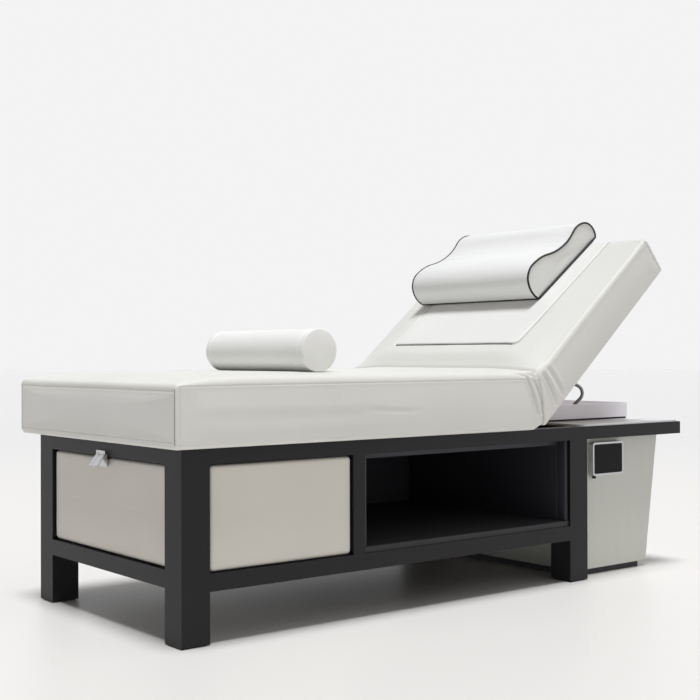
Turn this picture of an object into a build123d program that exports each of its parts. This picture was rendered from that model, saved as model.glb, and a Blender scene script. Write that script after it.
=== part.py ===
from build123d import *
from math import cos, radians, sin, tan
import os

# Massage and head-spa bed.
# +X runs from the foot end to the head end, -Y is the near side, +Z is up.
# The origin lies on the floor, under the middle of the whole bed's box.

# Bed frame
frame_length = 1935.0
frame_width = 800.0
frame_top = 480.0
leg_size = 80.0
tube_wall = 2.5
rail_height = 40.0
rail_width = 40.0
lower_rail_bottom = 130.0
lower_rail_height = 44.0
foot_rail_lift = 8.0
head_bay = 553.0
post_start = 526.0
post_size = 40.0
hinge_setback = 131.0
hinge_bar_setback = 56.0
hinge_rail_gap = 60.0
glide_height = 12.0
glide_show = 3.0
glide_inset = 12.0

# Running and seating clearances
seam = 0.3
panel_gap = 3.0
pin_clearance = 0.05
overrun = 5.0

# Seat cushion
cushion_overhang = 45.0
foot_overhang = 40.0
mattress_top = 635.0
cushion_lift = 1.0
crown = 26.0
shoulder_share = 0.28
shoulder_rise_share = 0.8
shoulder_sagitta = 4.0
side_draw = 4.0
side_waist = 3.0
end_inset = 5.0
seat_bottom_setback = 35.0
seat_top_setback = 59.0
board_thickness = 12.0
board_inset = 60.0

# Backrest, drawn flat and then raised about its hinge
back_angle = 41.0
back_raise_limit = 45.0
hinge_height = 482.0
back_bottom = 505.0
back_heel = 19.0
back_crown = 38.0
back_overhang = 52.0
heel_clearance = 2.0
cutout_length = 568.0
cutout_width = 590.0
back_board_inset = 22.0
tip_crown_share = 0.12
crown_fall_length = 342.0

# Head insert and its ledges
insert_depth = 20.0
insert_board_thickness = 9.0
insert_seam = 0.6
ledge_width = 20.0
ledge_thickness = 3.0
ledge_foot = 30.0
insert_tip_gap = 1.0

# Ratchet hinges
pin_radius = 5.0
pin_head_radius = 8.0
pin_head_height = 2.0
case_radius = 18.0
case_cheek = 4.0
case_drop = 36.0
case_spine_top = 16.0
case_spine_depth = 5.5
arm_thickness = 8.0
arm_gap = 0.3
arm_boss_radius = 14.0
arm_neck = 14.0
arm_foot_length = 80.0
arm_foot_width = 40.0
arm_foot_thickness = 3.0
tooth_count = 20
tooth_depth = 1.6

# Buffers under the backrest
buffer_radius = 15.0
buffer_gap = 0.5
buffer_near_reach = 81.0
buffer_far_reach = 471.0
buffer_side_share = 0.375

# Wave pillow, measured in the plane of the backrest
pillow_width = 566.0
pillow_offset = 64.0
pillow_reach = 325.0
pillow_base = 336.0
pillow_height = 106.0
pillow_tilt = 3.4
pillow_lift = 25.8
pillow_arc_shares = (
    ((-0.044, 0.46), (-0.017, 0.76)),
    ((0.045, 0.935), (0.137, 1.0)),
    ((0.240, 0.975), (0.348, 0.882)),
    ((0.490, 0.725), (0.645, 0.670)),
    ((0.725, 0.695), (0.790, 0.745)),
    ((0.895, 0.785), (0.990, 0.690)),
    ((1.055, 0.440), (1.055, 0.115)),
    ((1.036, 0.030), (1.0, 0.0)),
)

# Round bolster
bolster_radius = 59.0
bolster_length = 490.0
bolster_station = 478.0
bolster_offset = -72.0
bolster_edge = 6.0

# Side panels and carcass
panel_board_thickness = 12.0
pad_thickness = 12.0
pad_crown = 4.0
pad_crown_end_share = 0.3
panel_setback = 2.0
shelf_thickness = 16.0
shelf_setback = 6.0
carcass_thickness = 16.0
carcass_setback = 2.0

# Drawer
drawer_end_gap = 9.0
drawer_wall = 12.0
drawer_floor = 6.0
drawer_floor_lift = 10.0
drawer_side_gap = 2.0
drawer_height = 200.0
drawer_lift = 14.0
drawer_front_thickness = 16.0
drawer_pad_thickness = 14.0
front_setback = 3.0

# Telescopic runners
runner_height = 42.0
runner_wall = 1.4
runner_play = 0.5
runner_depth = 14.0
runner_end_gap = 6.0
runner_lift = 90.0
runner_board_height = 90.0
runner_board_thickness = 16.0

# Drawer pull
pull_width = 50.0
pull_offset = 4.0
pull_plate = 2.5
pull_top = 455.0
pull_back_height = 42.0
pull_roll = 8.0
pull_lip = 9.0
pull_reach = 22.0
pull_drop = 31.0
pull_rib_radius = 3.5
pull_rib_spread = 13.0
pull_eye_radius = 1.8
pull_eye_depth = 6.0
pull_gap = 0.5
stem_width = 30.0
stem_height = 16.0

# Deck and basin
deck_lap = 25.0
deck_thickness = 6.0
deck_inset = 2.0
deck_corner = 26.0
basin_foot_gap = 21.0
basin_head_gap = 48.0
basin_width = 448.0
basin_rise = 48.0
gasket_height = 6.0
gasket_inset = 3.0
gasket_width = 9.0
basin_wall = 8.0
basin_seat = 14.0
basin_corner = 18.0
basin_ledge_thickness = 8.0
bowl_inset = 44.0
tap_ledge_extra = 20.0
bowl_taper = 36.0
bowl_depth = 136.0
drain_radius = 22.0

# Drain
strainer_radius = 32.0
strainer_thickness = 2.5
strainer_hole_radius = 3.0
strainer_hole_count = 8
strainer_ring = 13.0
tail_radius = 19.0
tail_length = 80.0
trap_radius = 36.0
trap_height = 95.0
waste_radius = 20.0
waste_pipe_radius = 18.5
waste_lift = 60.0
waste_reach = 30.0

# Spout
spout_shift = 46.5
spout_edge_gap = 44.0
spout_heading = 142.0
spout_radius = 5.5
spout_bend = 28.0
spout_low_bend = 16.0
spout_lean = 45.0
spout_apex = 604.5
spout_arm = 80.0
spout_drop = 16.0
spout_base_radius = 14.0
spout_base_height = 11.0
spout_plug = 7.0
spout_foot_rise = 2.0
nozzle_length = 16.0
nozzle_radius = 7.5
shank_radius = 6.0

# Cabinet
cabinet_foot_gap = 2.0
cabinet_side_gap = 10.0
cabinet_head_gap = 56.0
cabinet_slant = 68.0
cabinet_wall = 15.0
cabinet_corner = 26.0
plinth_height = 20.0
plinth_inset = 12.0

# Supply pump
pump_length = 110.0
pump_width = 100.0
pump_height = 90.0
pump_edge = 8.0
motor_radius = 34.0
motor_length = 70.0

# Control panel
panel_foot_gap = 60.0
panel_length = 149.0
panel_rail_gap = 16.0
panel_height = 106.0
panel_depth = 18.0
panel_corner = 9.0
panel_wall = 2.5
bezel_thickness = 3.0
bezel_border = 6.0
screen_thickness = 3.0
panel_screw_radius = 3.0
panel_screw_reach = 1.5
panel_screw_height_share = 0.5
button_radius = 6.0
button_reach = 9.0
button_station = 17.0
button_collar = 1.2
button_shift = 1.2
button_play = 0.05

# Derived stations, measured from the foot face of the frame
head_leg_start = frame_length - head_bay
head_leg_end = head_leg_start + leg_size
hinge_station = head_leg_start - hinge_setback
hinge_bar_start = hinge_station - hinge_bar_setback
seat_end_bottom = hinge_station - seat_bottom_setback
seat_end_top = hinge_station - seat_top_setback
back_tip = frame_length + back_overhang
cutout_start = back_tip - cutout_length
crown_fall_start = back_tip - crown_fall_length
buffer_stations = (cutout_start + buffer_near_reach, cutout_start + buffer_far_reach)
pillow_start = back_tip - pillow_reach
deck_start = head_leg_end - deck_lap
basin_start = deck_start + basin_foot_gap
basin_end = frame_length - basin_head_gap
basin_middle = (basin_start + basin_end) / 2
spout_station = basin_middle - spout_shift
cabinet_start = head_leg_end + cabinet_foot_gap
cabinet_head_top = frame_length - cabinet_head_gap
cabinet_head_bottom = cabinet_head_top - cabinet_slant
panel_start = cabinet_start + panel_foot_gap

# Derived lengths and heights
half_width = frame_width / 2
cushion_half = half_width + cushion_overhang
rail_inner = half_width - rail_width
leg_inner = half_width - leg_size
rail_bottom = frame_top - rail_height
lower_rail_top = lower_rail_bottom + lower_rail_height
cushion_bottom = frame_top + cushion_lift
deck_top = frame_top + deck_thickness
cutout_half = cutout_width / 2
hinge_spread = rail_inner - hinge_rail_gap
drawer_half_width = leg_inner - runner_depth - drawer_side_gap
runner_length = post_start - leg_size - runner_end_gap
spout_offset = spout_edge_gap - basin_width / 2
cabinet_half = rail_inner - cabinet_side_gap
panel_bottom = rail_bottom - panel_rail_gap - panel_height
insert_bottom = mattress_top - insert_depth
crown_top = mattress_top + crown
back_top = mattress_top + back_crown

# Derived places along X, measured from the origin
foot_x = (foot_overhang - frame_length) / 2
head_x = foot_x + frame_length
hinge_x = foot_x + hinge_station
cutout_x = foot_x + cutout_start
post_x = foot_x + post_start
head_leg_x = foot_x + head_leg_start
foot_leg_end = foot_x + leg_size
basin_x = foot_x + basin_middle
hinge_axis = Axis((hinge_x, 0, hinge_height), (0, -1, 0))


def save(node, *solids):
    """Write the solids of one node to its STEP file."""
    shape = solids[0] if len(solids) == 1 else Compound(children=[s.solid() for s in solids])
    export_step(shape, f"parts/{node}.step")


def block(x0, x1, y0, y1, z0, z1):
    """Box between two corners."""
    low = (Align.MIN, Align.MIN, Align.MIN)
    return Pos(x0, y0, z0) * Box(x1 - x0, y1 - y0, z1 - z0, align=low)


def square_tube(x0, x1, y0, y1, z0, z1, along):
    """Box section with open ends along one axis."""
    w, o = tube_wall, overrun
    cores = {
        "x": (x0 - o, x1 + o, y0 + w, y1 - w, z0 + w, z1 - w),
        "y": (x0 + w, x1 - w, y0 - o, y1 + o, z0 + w, z1 - w),
        "z": (x0 + w, x1 - w, y0 + w, y1 - w, z0 - o, z1 + o),
    }
    return block(x0, x1, y0, y1, z0, z1) - block(*cores[along])


def rod(start, direction, radius, length):
    """Round bar from a point along a direction."""
    plane = Plane(origin=start, z_dir=direction)
    return extrude(plane * Circle(radius), length)


def mirrored(solid):
    """The same piece on the far side."""
    return solid.mirror(Plane.XZ)


def raised(solid):
    """A backrest piece turned from flat to its raised angle."""
    return solid.rotate(hinge_axis, back_angle)


def legs():
    """Four square legs under the top rails, with glides in their feet."""
    glides = []
    names = {"foot": (foot_x, foot_leg_end), "head": (head_leg_x, head_leg_x + leg_size)}
    for end, (x0, x1) in names.items():
        near = square_tube(x0, x1, -half_width, -leg_inner, glide_show, rail_bottom, "z")
        save(f"near_{end}_leg", near)
        save(f"far_{end}_leg", mirrored(near))
        glides += leg_glides(x0, x1)
    save("leg_glides", *glides)


def leg_glides(x0, x1):
    """Plastic plugs that fill the tube and stand on the floor."""
    w = tube_wall
    plug = block(x0 + w, x1 - w, -half_width + w, -leg_inner - w, glide_show, glide_height)
    edge = glide_inset / 2
    foot = block(x0 + edge, x1 - edge, -half_width + edge, -leg_inner - edge, 0, glide_show)
    glide = plug + foot
    return [glide, mirrored(glide)]


def top_frame():
    """Capped side rails over the whole length, end rails and crossbars between them."""
    near = square_tube(foot_x, head_x, -half_width, -rail_inner, rail_bottom, frame_top, "x")
    for x0 in (foot_x, head_x - tube_wall):
        near = near + block(x0, x0 + tube_wall, -half_width, -rail_inner, rail_bottom, frame_top)
    save("near_top_rail", near)
    save("far_top_rail", mirrored(near))
    starts = {
        "foot_top_rail": foot_x,
        "head_top_rail": head_x - rail_width,
        "hinge_crossbar": foot_x + hinge_bar_start,
    }
    for node, x0 in starts.items():
        save(node, cross_tube(x0))
    save("top_crossbars", cross_tube(post_x), cross_tube(head_leg_x + leg_size - rail_width))


def cross_tube(x0):
    """Tube between the two top side rails."""
    return square_tube(x0, x0 + rail_width, -rail_inner, rail_inner, rail_bottom, frame_top, "y")


def lower_frame():
    """Lower rails between the legs, crossbars and mid posts."""
    z0, z1 = lower_rail_bottom, lower_rail_top
    near = square_tube(foot_leg_end, head_leg_x, -half_width, -rail_inner, z0, z1, "x")
    save("near_lower_rail", near)
    save("far_lower_rail", mirrored(near))
    lift = foot_rail_lift
    foot = square_tube(foot_x, foot_x + rail_width, -leg_inner, leg_inner, z0 + lift, z1 + lift, "y")
    save("foot_lower_rail", foot)
    bar_x = head_leg_x + (leg_size - rail_width) / 2
    head = square_tube(bar_x, bar_x + rail_width, -leg_inner, leg_inner, z0, z1, "y")
    mid = square_tube(post_x, post_x + post_size, -rail_inner, rail_inner, z0, z1, "y")
    save("lower_crossbars", mid, head)
    post = square_tube(post_x, post_x + post_size, -half_width, -rail_inner, z1, rail_bottom, "z")
    save("mid_posts", post, mirrored(post))


def pad_section(plane, length, depth, bulge):
    """Flat back, square sides and a bowed face."""
    half = length / 2
    line = Polyline((-half, depth), (-half, 0), (half, 0), (half, depth))
    face = ThreePointArc((-half, depth), (0, depth + bulge), (half, depth))
    return plane * make_face(Curve() + [line, face])


def crowned_pad(base, width, height, depth, bulge):
    """Upholstered panel: width runs along the base plane's X, height along its normal."""
    share = pad_crown_end_share
    rows = ((0, bulge * share), (height / 2, bulge), (height, bulge * share))
    return loft([pad_section(base.offset(z), width, depth, b) for z, b in rows])


def side_panels():
    """Upholstered panels that close the foot bay on both sides."""
    x0 = foot_leg_end + panel_gap
    x1 = post_x - panel_gap
    z0 = lower_rail_top + panel_gap
    z1 = rail_bottom - panel_gap
    face = -half_width + panel_setback + pad_crown
    back = face + pad_thickness
    board = block(foot_leg_end, post_x, back, back + panel_board_thickness, lower_rail_top, rail_bottom)
    base = Plane(origin=((x0 + x1) / 2, back, z0), x_dir=(-1, 0, 0), z_dir=(0, 0, 1))
    pad = crowned_pad(base, x1 - x0, z1 - z0, pad_thickness, pad_crown)
    save("side_panel_boards", board, mirrored(board))
    save("side_panel_pads", pad, mirrored(pad))


def carcass():
    """Boards that line the open shelf bay."""
    x0, x1 = post_x + post_size, head_leg_x
    shelf_top = lower_rail_top + shelf_thickness
    front = -half_width + shelf_setback
    t = carcass_thickness
    top_z = rail_bottom - t
    side = rail_inner - carcass_setback
    back_y = half_width - rail_width - carcass_setback
    save("shelf_board", block(x0, x1, front, -front, lower_rail_top, shelf_top))
    save("carcass_back", block(x0 + t, x1 - t, back_y - t, back_y, shelf_top, top_z))
    foot = block(x0, x0 + t, -side, side, shelf_top, top_z)
    head = block(x1 - t, x1, -side, side, shelf_top, top_z)
    save("carcass_sides", foot, head)
    save("carcass_top", block(x0, x1, -side, side, top_z, rail_bottom))


def cushion_section(x, half, bottom, edge_z, rise, draw):
    """Cross-section of a crowned cushion, square to the bed's length."""
    shoulder = half * shoulder_share
    inner = half - shoulder
    inner_z = edge_z + rise * shoulder_rise_share
    sag = shoulder_sagitta * rise / crown
    mid_z = (bottom + edge_z) / 2
    shoulder_mid = ((half + inner) / 2, (edge_z + inner_z) / 2 + sag)
    base = Line((-half, bottom), (half, bottom))
    right = ThreePointArc((half, bottom), (half - draw, mid_z), (half, edge_z))
    right_top = ThreePointArc((half, edge_z), shoulder_mid, (inner, inner_z))
    middle = ThreePointArc((inner, inner_z), (0, edge_z + rise), (-inner, inner_z))
    left_mid = (-shoulder_mid[0], shoulder_mid[1])
    left_top = ThreePointArc((-inner, inner_z), left_mid, (-half, edge_z))
    left = ThreePointArc((-half, edge_z), (-half + draw, mid_z), (-half, bottom))
    outline = make_face(Curve() + [base, right, right_top, middle, left_top, left])
    return Plane(origin=(x, 0, 0), x_dir=(0, 1, 0), z_dir=(1, 0, 0)) * outline


def seat_cushion():
    """Long crowned mattress that wraps its board, cut slanting at the hinge."""
    x0 = foot_x - foot_overhang
    x1 = foot_x + seat_end_bottom
    z0, z1 = cushion_bottom, mattress_top
    waist = cushion_half - side_waist
    corner = cushion_half - end_inset
    soft = crown * tip_crown_share
    rows = (
        (x0, corner, soft),
        (x0 + end_inset, cushion_half, soft * 2),
        (x0 + crown * 4, cushion_half, crown * shoulder_rise_share),
        (x0 + crown * 10, waist, crown),
        ((x0 + x1) / 2, waist, crown),
        (x1, cushion_half, crown),
    )
    blank = loft([cushion_section(x, h, z0, z1, c, side_draw) for x, h, c in rows], ruled=True)
    slope = (seat_end_bottom - seat_end_top) / (z1 - z0)
    top = crown_top + overrun
    top_x = x1 - slope * (top - z0)
    wedge = Polyline((x1, z0), (top_x, top), (x1 + overrun, top), (x1 + overrun, z0), close=True)
    reach = cushion_half + overrun
    cutter = extrude(Plane.XZ * make_face(wedge), reach, both=True)
    return blank - cutter - seat_board(seam / 2)


def seat_board(grow=0.0):
    """Plywood base let into the underside of the mattress."""
    x0 = foot_x + board_inset / 2 - grow
    x1 = foot_x + hinge_bar_start + rail_width / 2 + grow
    reach = half_width - board_inset / 2 + grow
    return block(x0, x1, -reach, reach, frame_top, frame_top + board_thickness + grow)


def back_blank():
    """Backrest cushion lying flat, before the head cut-out."""
    tip = foot_x + back_tip
    start = hinge_x - back_heel - overrun
    waist = cushion_half - side_waist
    soft = crown * tip_crown_share
    rows = (
        (start, cushion_half, back_crown),
        (foot_x + crown_fall_start, waist, crown),
        (tip - end_inset, cushion_half, soft * 2),
        (tip, cushion_half - end_inset, soft),
    )
    low, edge = back_bottom, mattress_top
    return loft([cushion_section(x, h, low, edge, c, side_draw) for x, h, c in rows], ruled=True)


def bevel_cutter():
    """Wedge removed at the heel so that the raised backrest clears the seat."""
    limit = radians(back_raise_limit)
    rise = back_top - hinge_height
    room = hinge_station - seat_end_top - heel_clearance
    top_x = hinge_x + (rise * sin(limit) - room) / cos(limit)
    heel_x = hinge_x - back_heel
    slope = (top_x - heel_x) / (back_top - back_bottom)
    low, high = back_bottom - overrun, back_top + overrun
    low_x = heel_x - slope * overrun
    high_x = top_x + slope * overrun
    left = heel_x - back_heel - overrun
    outline = Polyline((low_x, low), (high_x, high), (left, high), (left, low), close=True)
    return extrude(Plane.XZ * make_face(outline), cushion_half + overrun, both=True)


def back_board(grow=0.0):
    """U-shaped plywood board under the backrest cushion."""
    x0 = hinge_x - grow
    x1 = foot_x + back_tip - back_board_inset + grow
    reach = cushion_half - board_inset + grow
    z1 = back_bottom + board_thickness + grow
    board = block(x0, x1, -reach, reach, back_bottom, z1)
    inner = cutout_half + back_board_inset - grow
    return board - block(cutout_x - back_board_inset + grow, x1 + overrun, -inner, inner, back_bottom, z1)


def backrest():
    """Backrest cushion, board, head insert and ledges."""
    blank = back_blank()
    tip = foot_x + back_tip + overrun
    low, high = back_bottom - overrun, back_top + overrun
    hole = block(cutout_x, tip, -cutout_half, cutout_half, low, high)
    cushion = blank - bevel_cutter() - hole - back_board(seam / 2)
    save("back_cushion", raised(cushion))
    save("back_board", raised(back_board()))
    fit = cutout_half - insert_seam
    start = cutout_x + insert_seam
    end = foot_x + back_tip - insert_tip_gap
    board_top = insert_bottom + insert_board_thickness
    pad = blank & block(start, tip, -fit, fit, board_top, high)
    save("insert_pad", raised(pad))
    save("insert_board", raised(block(start, end, -fit, fit, insert_bottom, board_top)))
    ledge = insert_ledge(end)
    save("insert_ledges", raised(ledge), raised(mirrored(ledge)))


def insert_ledge(end):
    """Z-section strip: foot under the cushion, web up the cut-out, shelf for the insert."""
    t = ledge_thickness
    z1 = insert_bottom - seam
    z0 = back_bottom - t
    web_y = cutout_half - insert_seam
    start = cutout_x + insert_seam
    web = block(start, end, web_y - t, web_y, z0, z1)
    shelf = block(start, end, web_y - ledge_width, web_y, z1 - t, z1)
    foot = block(start, end, web_y - t, web_y + ledge_foot, z0, back_bottom)
    return web + shelf + foot


def ratchet_hinge():
    """Case on the hinge crossbar, toothed arm under the backrest board and their pin."""
    cases, arms, pins = [], [], []
    for side in (-1, 1):
        y = side * hinge_spread
        cases.append(ratchet_case(y))
        arms.append(raised(ratchet_arm(y)))
        pins.append(hinge_pin(y))
    save("ratchet_cases", *cases)
    save("ratchet_arms", *arms)
    save("hinge_pins", *pins)


def ratchet_case(y):
    """Two cheeks joined by a spine that is bolted to the crossbar's face."""
    bar_face = foot_x + hinge_bar_start + rail_width
    half = arm_thickness / 2 + arm_gap + case_cheek
    low = hinge_height - case_drop
    outline = make_face(Polyline((bar_face, low), (hinge_x, low), (hinge_x, hinge_height - case_radius),
                                 (hinge_x, hinge_height), (bar_face, hinge_height), close=True))
    profile = outline + Pos(hinge_x, hinge_height) * Circle(case_radius)
    trim = Pos(bar_face - case_radius, hinge_height) * Rectangle(case_radius * 2, case_drop * 3)
    profile = profile - trim
    body = Pos(0, y, 0) * extrude(Plane.XZ * profile, half, both=True)
    slot_half = arm_thickness / 2 + arm_gap
    spine_x = bar_face + case_spine_depth
    reach = hinge_x + case_radius + overrun
    spine_z = hinge_height - case_spine_top
    top = hinge_height + case_radius + overrun
    upper = block(bar_face - overrun, reach, y - slot_half, y + slot_half, spine_z, top)
    lower = block(spine_x, reach, y - slot_half, y + slot_half, low - overrun, spine_z)
    hole = rod((hinge_x, y - half - overrun, hinge_height), (0, 1, 0), pin_radius + pin_clearance,
               (half + overrun) * 2)
    return body - upper - lower - hole


def ratchet_arm(y):
    """Toothed boss round the pin with a neck up to a foot under the board."""
    half = arm_thickness / 2
    centre = Pos(hinge_x, hinge_height)
    boss = centre * Circle(arm_boss_radius)
    notch = Pos(arm_boss_radius, 0) * Rot(0, 0, 45) * Rectangle(tooth_depth, tooth_depth)
    step = 360 / tooth_count
    for i in range(tooth_count):
        boss = boss - centre * Rot(0, 0, i * step) * notch
    foot_z = back_bottom - arm_foot_thickness
    neck = make_face(Polyline((hinge_x, hinge_height), (hinge_x + arm_neck, hinge_height),
                              (hinge_x + arm_neck + arm_neck, foot_z), (hinge_x, foot_z), close=True))
    plate = extrude(Plane.XZ * (boss + neck), half, both=True)
    side = arm_foot_width / 2
    foot = block(hinge_x, hinge_x + arm_foot_length, -side, side, foot_z, back_bottom)
    hole = rod((hinge_x, -half - overrun, hinge_height), (0, 1, 0), pin_radius + pin_clearance,
               (half + overrun) * 2)
    return Pos(0, y, 0) * (plate + foot - hole)


def hinge_pin(y):
    """Headed pin through both cheeks and the arm."""
    half = arm_thickness / 2 + arm_gap + case_cheek
    cap = pin_head_height
    shank = rod((hinge_x, y - half, hinge_height), (0, 1, 0), pin_radius, half * 2)
    head = rod((hinge_x, y - half - cap, hinge_height), (0, 1, 0), pin_head_radius, cap)
    tail = rod((hinge_x, y + half, hinge_height), (0, 1, 0), pin_head_radius, cap)
    return shank + head + tail


def back_buffers():
    """Rubber buffers that land on the deck when the backrest is flat."""
    buffers = []
    height = back_bottom - deck_top - buffer_gap
    inner = cutout_half + ledge_foot
    y = inner + (cushion_half - inner) * buffer_side_share
    for station in buffer_stations:
        for side in (-1, 1):
            top = (foot_x + station, side * y, back_bottom)
            buffers.append(raised(rod(top, (0, 0, -1), buffer_radius, height)))
    save("back_buffers", *buffers)


def pillow():
    """Wave pillow: a high lobe under the neck, a valley and a low lobe."""
    spot = (0, 0)
    outline = []
    for row in pillow_arc_shares:
        middle, end = [(a * pillow_base, b * pillow_height) for a, b in row]
        outline.append(ThreePointArc(spot, middle, end))
        spot = end
    outline.append(Line(spot, (0, 0)))
    base_z = mattress_top + pillow_lift
    base_x = foot_x + pillow_start
    plane = Plane(origin=(base_x, pillow_offset, base_z), x_dir=(1, 0, 0), z_dir=(0, -1, 0))
    body = extrude(plane * make_face(Curve() + outline), pillow_width / 2, both=True)
    tilted = body.rotate(Axis((base_x, 0, base_z), (0, 1, 0)), pillow_tilt)
    save("pillow", raised(tilted))


def bolster():
    """Round bolster across the bed with softly domed ends."""
    roll = rod((0, -bolster_length / 2, 0), (0, 1, 0), bolster_radius, bolster_length)
    roll = roll & Sphere(bolster_length / 2)
    roll = fillet(roll.edges().filter_by(GeomType.CIRCLE), bolster_edge)
    height = crown_top + seam + bolster_radius
    save("bolster", Pos(foot_x + bolster_station, bolster_offset, height) * roll)


def drawer():
    """Open box behind an upholstered front in the foot end."""
    face = foot_x + front_setback + pad_crown
    back = face + drawer_pad_thickness
    z0 = lower_rail_top + foot_rail_lift + panel_gap
    z1 = rail_bottom - panel_gap
    reach = leg_inner - panel_gap
    board = block(back, back + drawer_front_thickness, -reach, reach, z0, z1)
    base = Plane(origin=(back, 0, z0), x_dir=(0, 1, 0), z_dir=(0, 0, 1))
    pad = crowned_pad(base, reach * 2, z1 - z0, drawer_pad_thickness, pad_crown)
    save("drawer_front_pad", pad - pull_stem(back, seam / 2))
    save("drawer_front_board", board)
    box_x = back + drawer_front_thickness
    low = z0 + drawer_lift
    w = drawer_wall
    half = drawer_half_width
    box_end = post_x - drawer_end_gap
    shell = block(box_x, box_end, -half, half, low, low + drawer_height)
    in_x0, in_x1 = box_x + w, box_end - w
    floor_low = low + drawer_floor_lift
    inside = block(in_x0, in_x1, w - half, half - w, floor_low + drawer_floor, low + drawer_height + overrun)
    under = block(in_x0, in_x1, w - half, half - w, low - overrun, floor_low)
    save("drawer_box", shell - inside - under)
    save("drawer_pull", drawer_pull(back))


def pull_stem(back, grow=0.0):
    """Block through the pad that carries the pull on the front board."""
    z0 = pull_top - pull_back_height - grow
    y0 = pull_offset - stem_width / 2 - grow
    y1 = pull_offset + stem_width / 2 + grow
    return block(foot_x - pull_gap, back, y0, y1, z0, z0 + stem_height + grow * 2)


def drawer_pull(back):
    """Folded tab in front of the rail, with two hollow ribs down its tongue."""
    t = pull_plate
    x0 = foot_x - pull_gap
    z1 = pull_top
    z0 = z1 - pull_back_height
    lip_x = x0 - pull_roll
    lip_z = z1 - pull_lip
    end_x = lip_x - pull_reach
    end_z = lip_z - pull_drop
    outline = Polyline((x0, z0), (x0, z1), (lip_x, z1), (lip_x, lip_z), (end_x, end_z), (end_x + t, end_z),
                       (lip_x + t, lip_z), (lip_x + t, z1 - t), (x0 - t, z1 - t), (x0 - t, z0), close=True)
    y1 = pull_offset + pull_width / 2
    plane = Plane(origin=(0, y1, 0), x_dir=(1, 0, 0), z_dir=(0, -1, 0))
    pull = extrude(plane * make_face(outline), pull_width) + pull_stem(back)
    run = Vector(-pull_reach, 0, -pull_drop)
    for side in (-1, 1):
        y = pull_offset + side * pull_rib_spread
        pull = pull + rod((lip_x + t / 2, y, lip_z), run, pull_rib_radius, run.length)
        eye = (end_x + t / 2, y, end_z)
        pull = pull - rod(eye, -run, pull_eye_radius, pull_eye_depth)
    return pull


def channel(y_web, y_open, half_height, length, x0, z):
    """C-section runner member with its web at one side."""
    step = runner_wall if y_open > y_web else -runner_wall
    y0, y1 = min(y_web, y_open), max(y_web, y_open)
    outer = block(x0, x0 + length, y0, y1, z - half_height, z + half_height)
    inner0, inner1 = sorted((y_web + step, y_open + step * overrun))
    core = block(x0 - overrun, x0 + length + overrun, inner0, inner1,
                 z - half_height + runner_wall, z + half_height - runner_wall)
    return outer - core


def runners():
    """Three nested runner members on each side of the drawer."""
    t, play = runner_wall, runner_play
    x0 = foot_leg_end
    z = lower_rail_top + foot_rail_lift + panel_gap + runner_lift
    outer_web = leg_inner
    outer_open = leg_inner - runner_depth
    mid_web = outer_web - t - play
    mid_open = outer_open + play
    inner_web = drawer_half_width
    inner_open = mid_web - t - play
    outer_half = runner_height / 2
    mid_half = outer_half - t - play
    inner_half = mid_half - t - play
    outer = channel(outer_web, outer_open, outer_half, runner_length, x0, z)
    mid = channel(mid_web, mid_open, mid_half, runner_length, x0, z)
    inner = channel(inner_web, inner_open, inner_half, runner_length, x0, z)
    save("outer_runners", outer, mirrored(outer))
    save("mid_runners", mid, mirrored(mid))
    save("inner_runners", inner, mirrored(inner))
    board_low, board_high = z - runner_board_height / 2, z + runner_board_height / 2
    board = block(x0, post_x, leg_inner, leg_inner + runner_board_thickness, board_low, board_high)
    save("runner_boards", board, mirrored(board))


def deck():
    """Plate over the frame's head end, with the basin's cut-out."""
    x0 = foot_x + deck_start
    x1 = head_x - deck_inset
    reach = half_width - deck_inset
    plate = block(x0, x1, -reach, reach, frame_top, deck_top)
    plate = fillet(plate.edges().filter_by(Axis.Z), deck_corner)
    side = basin_width / 2 - basin_seat
    cut = block(foot_x + basin_start + basin_seat, foot_x + basin_end - basin_seat, -side, side,
                frame_top - overrun, deck_top + overrun)
    cut = fillet(cut.edges().filter_by(Axis.Z), basin_corner)
    save("deck_plate", plate - cut)


def basin_ring(z, inset, near_extra=0.0):
    """Rounded rectangle at one level of the basin."""
    length = basin_end - basin_start - inset * 2
    width = basin_width - inset * 2 - near_extra
    return Plane(origin=(basin_x, near_extra / 2, z)) * RectangleRounded(length, width, basin_corner)


def basin():
    """Raised rim wall on a gasket, inner ledge and tapering bowl with a drain hole."""
    foot = deck_top + gasket_height
    ledge = foot + basin_ledge_thickness
    low = ledge - bowl_depth
    extra = tap_ledge_extra
    outside = extrude(basin_ring(foot, 0), basin_rise)
    outside = outside + loft([basin_ring(foot, bowl_inset, extra),
                              basin_ring(low - basin_wall, bowl_inset + bowl_taper, extra)])
    well = extrude(basin_ring(ledge, basin_wall), basin_rise)
    inner_inset = bowl_inset + basin_wall
    bowl = loft([basin_ring(ledge, inner_inset, extra), basin_ring(low, inner_inset + bowl_taper, extra)])
    drain = rod((basin_x, extra / 2, low + overrun), (0, 0, -1), drain_radius, basin_wall + overrun * 2)
    tap_hole = rod((foot_x + spout_station, spout_offset, ledge + overrun), (0, 0, -1),
                   shank_radius + pin_clearance, basin_ledge_thickness + overrun * 2)
    save("basin", outside - well - bowl - drain - tap_hole)
    gasket = extrude(basin_ring(deck_top, gasket_inset), gasket_height)
    save("basin_gasket", gasket - extrude(basin_ring(deck_top, gasket_inset + gasket_width), gasket_height))
    drain_fittings(basin_x, extra / 2, low)


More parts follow.
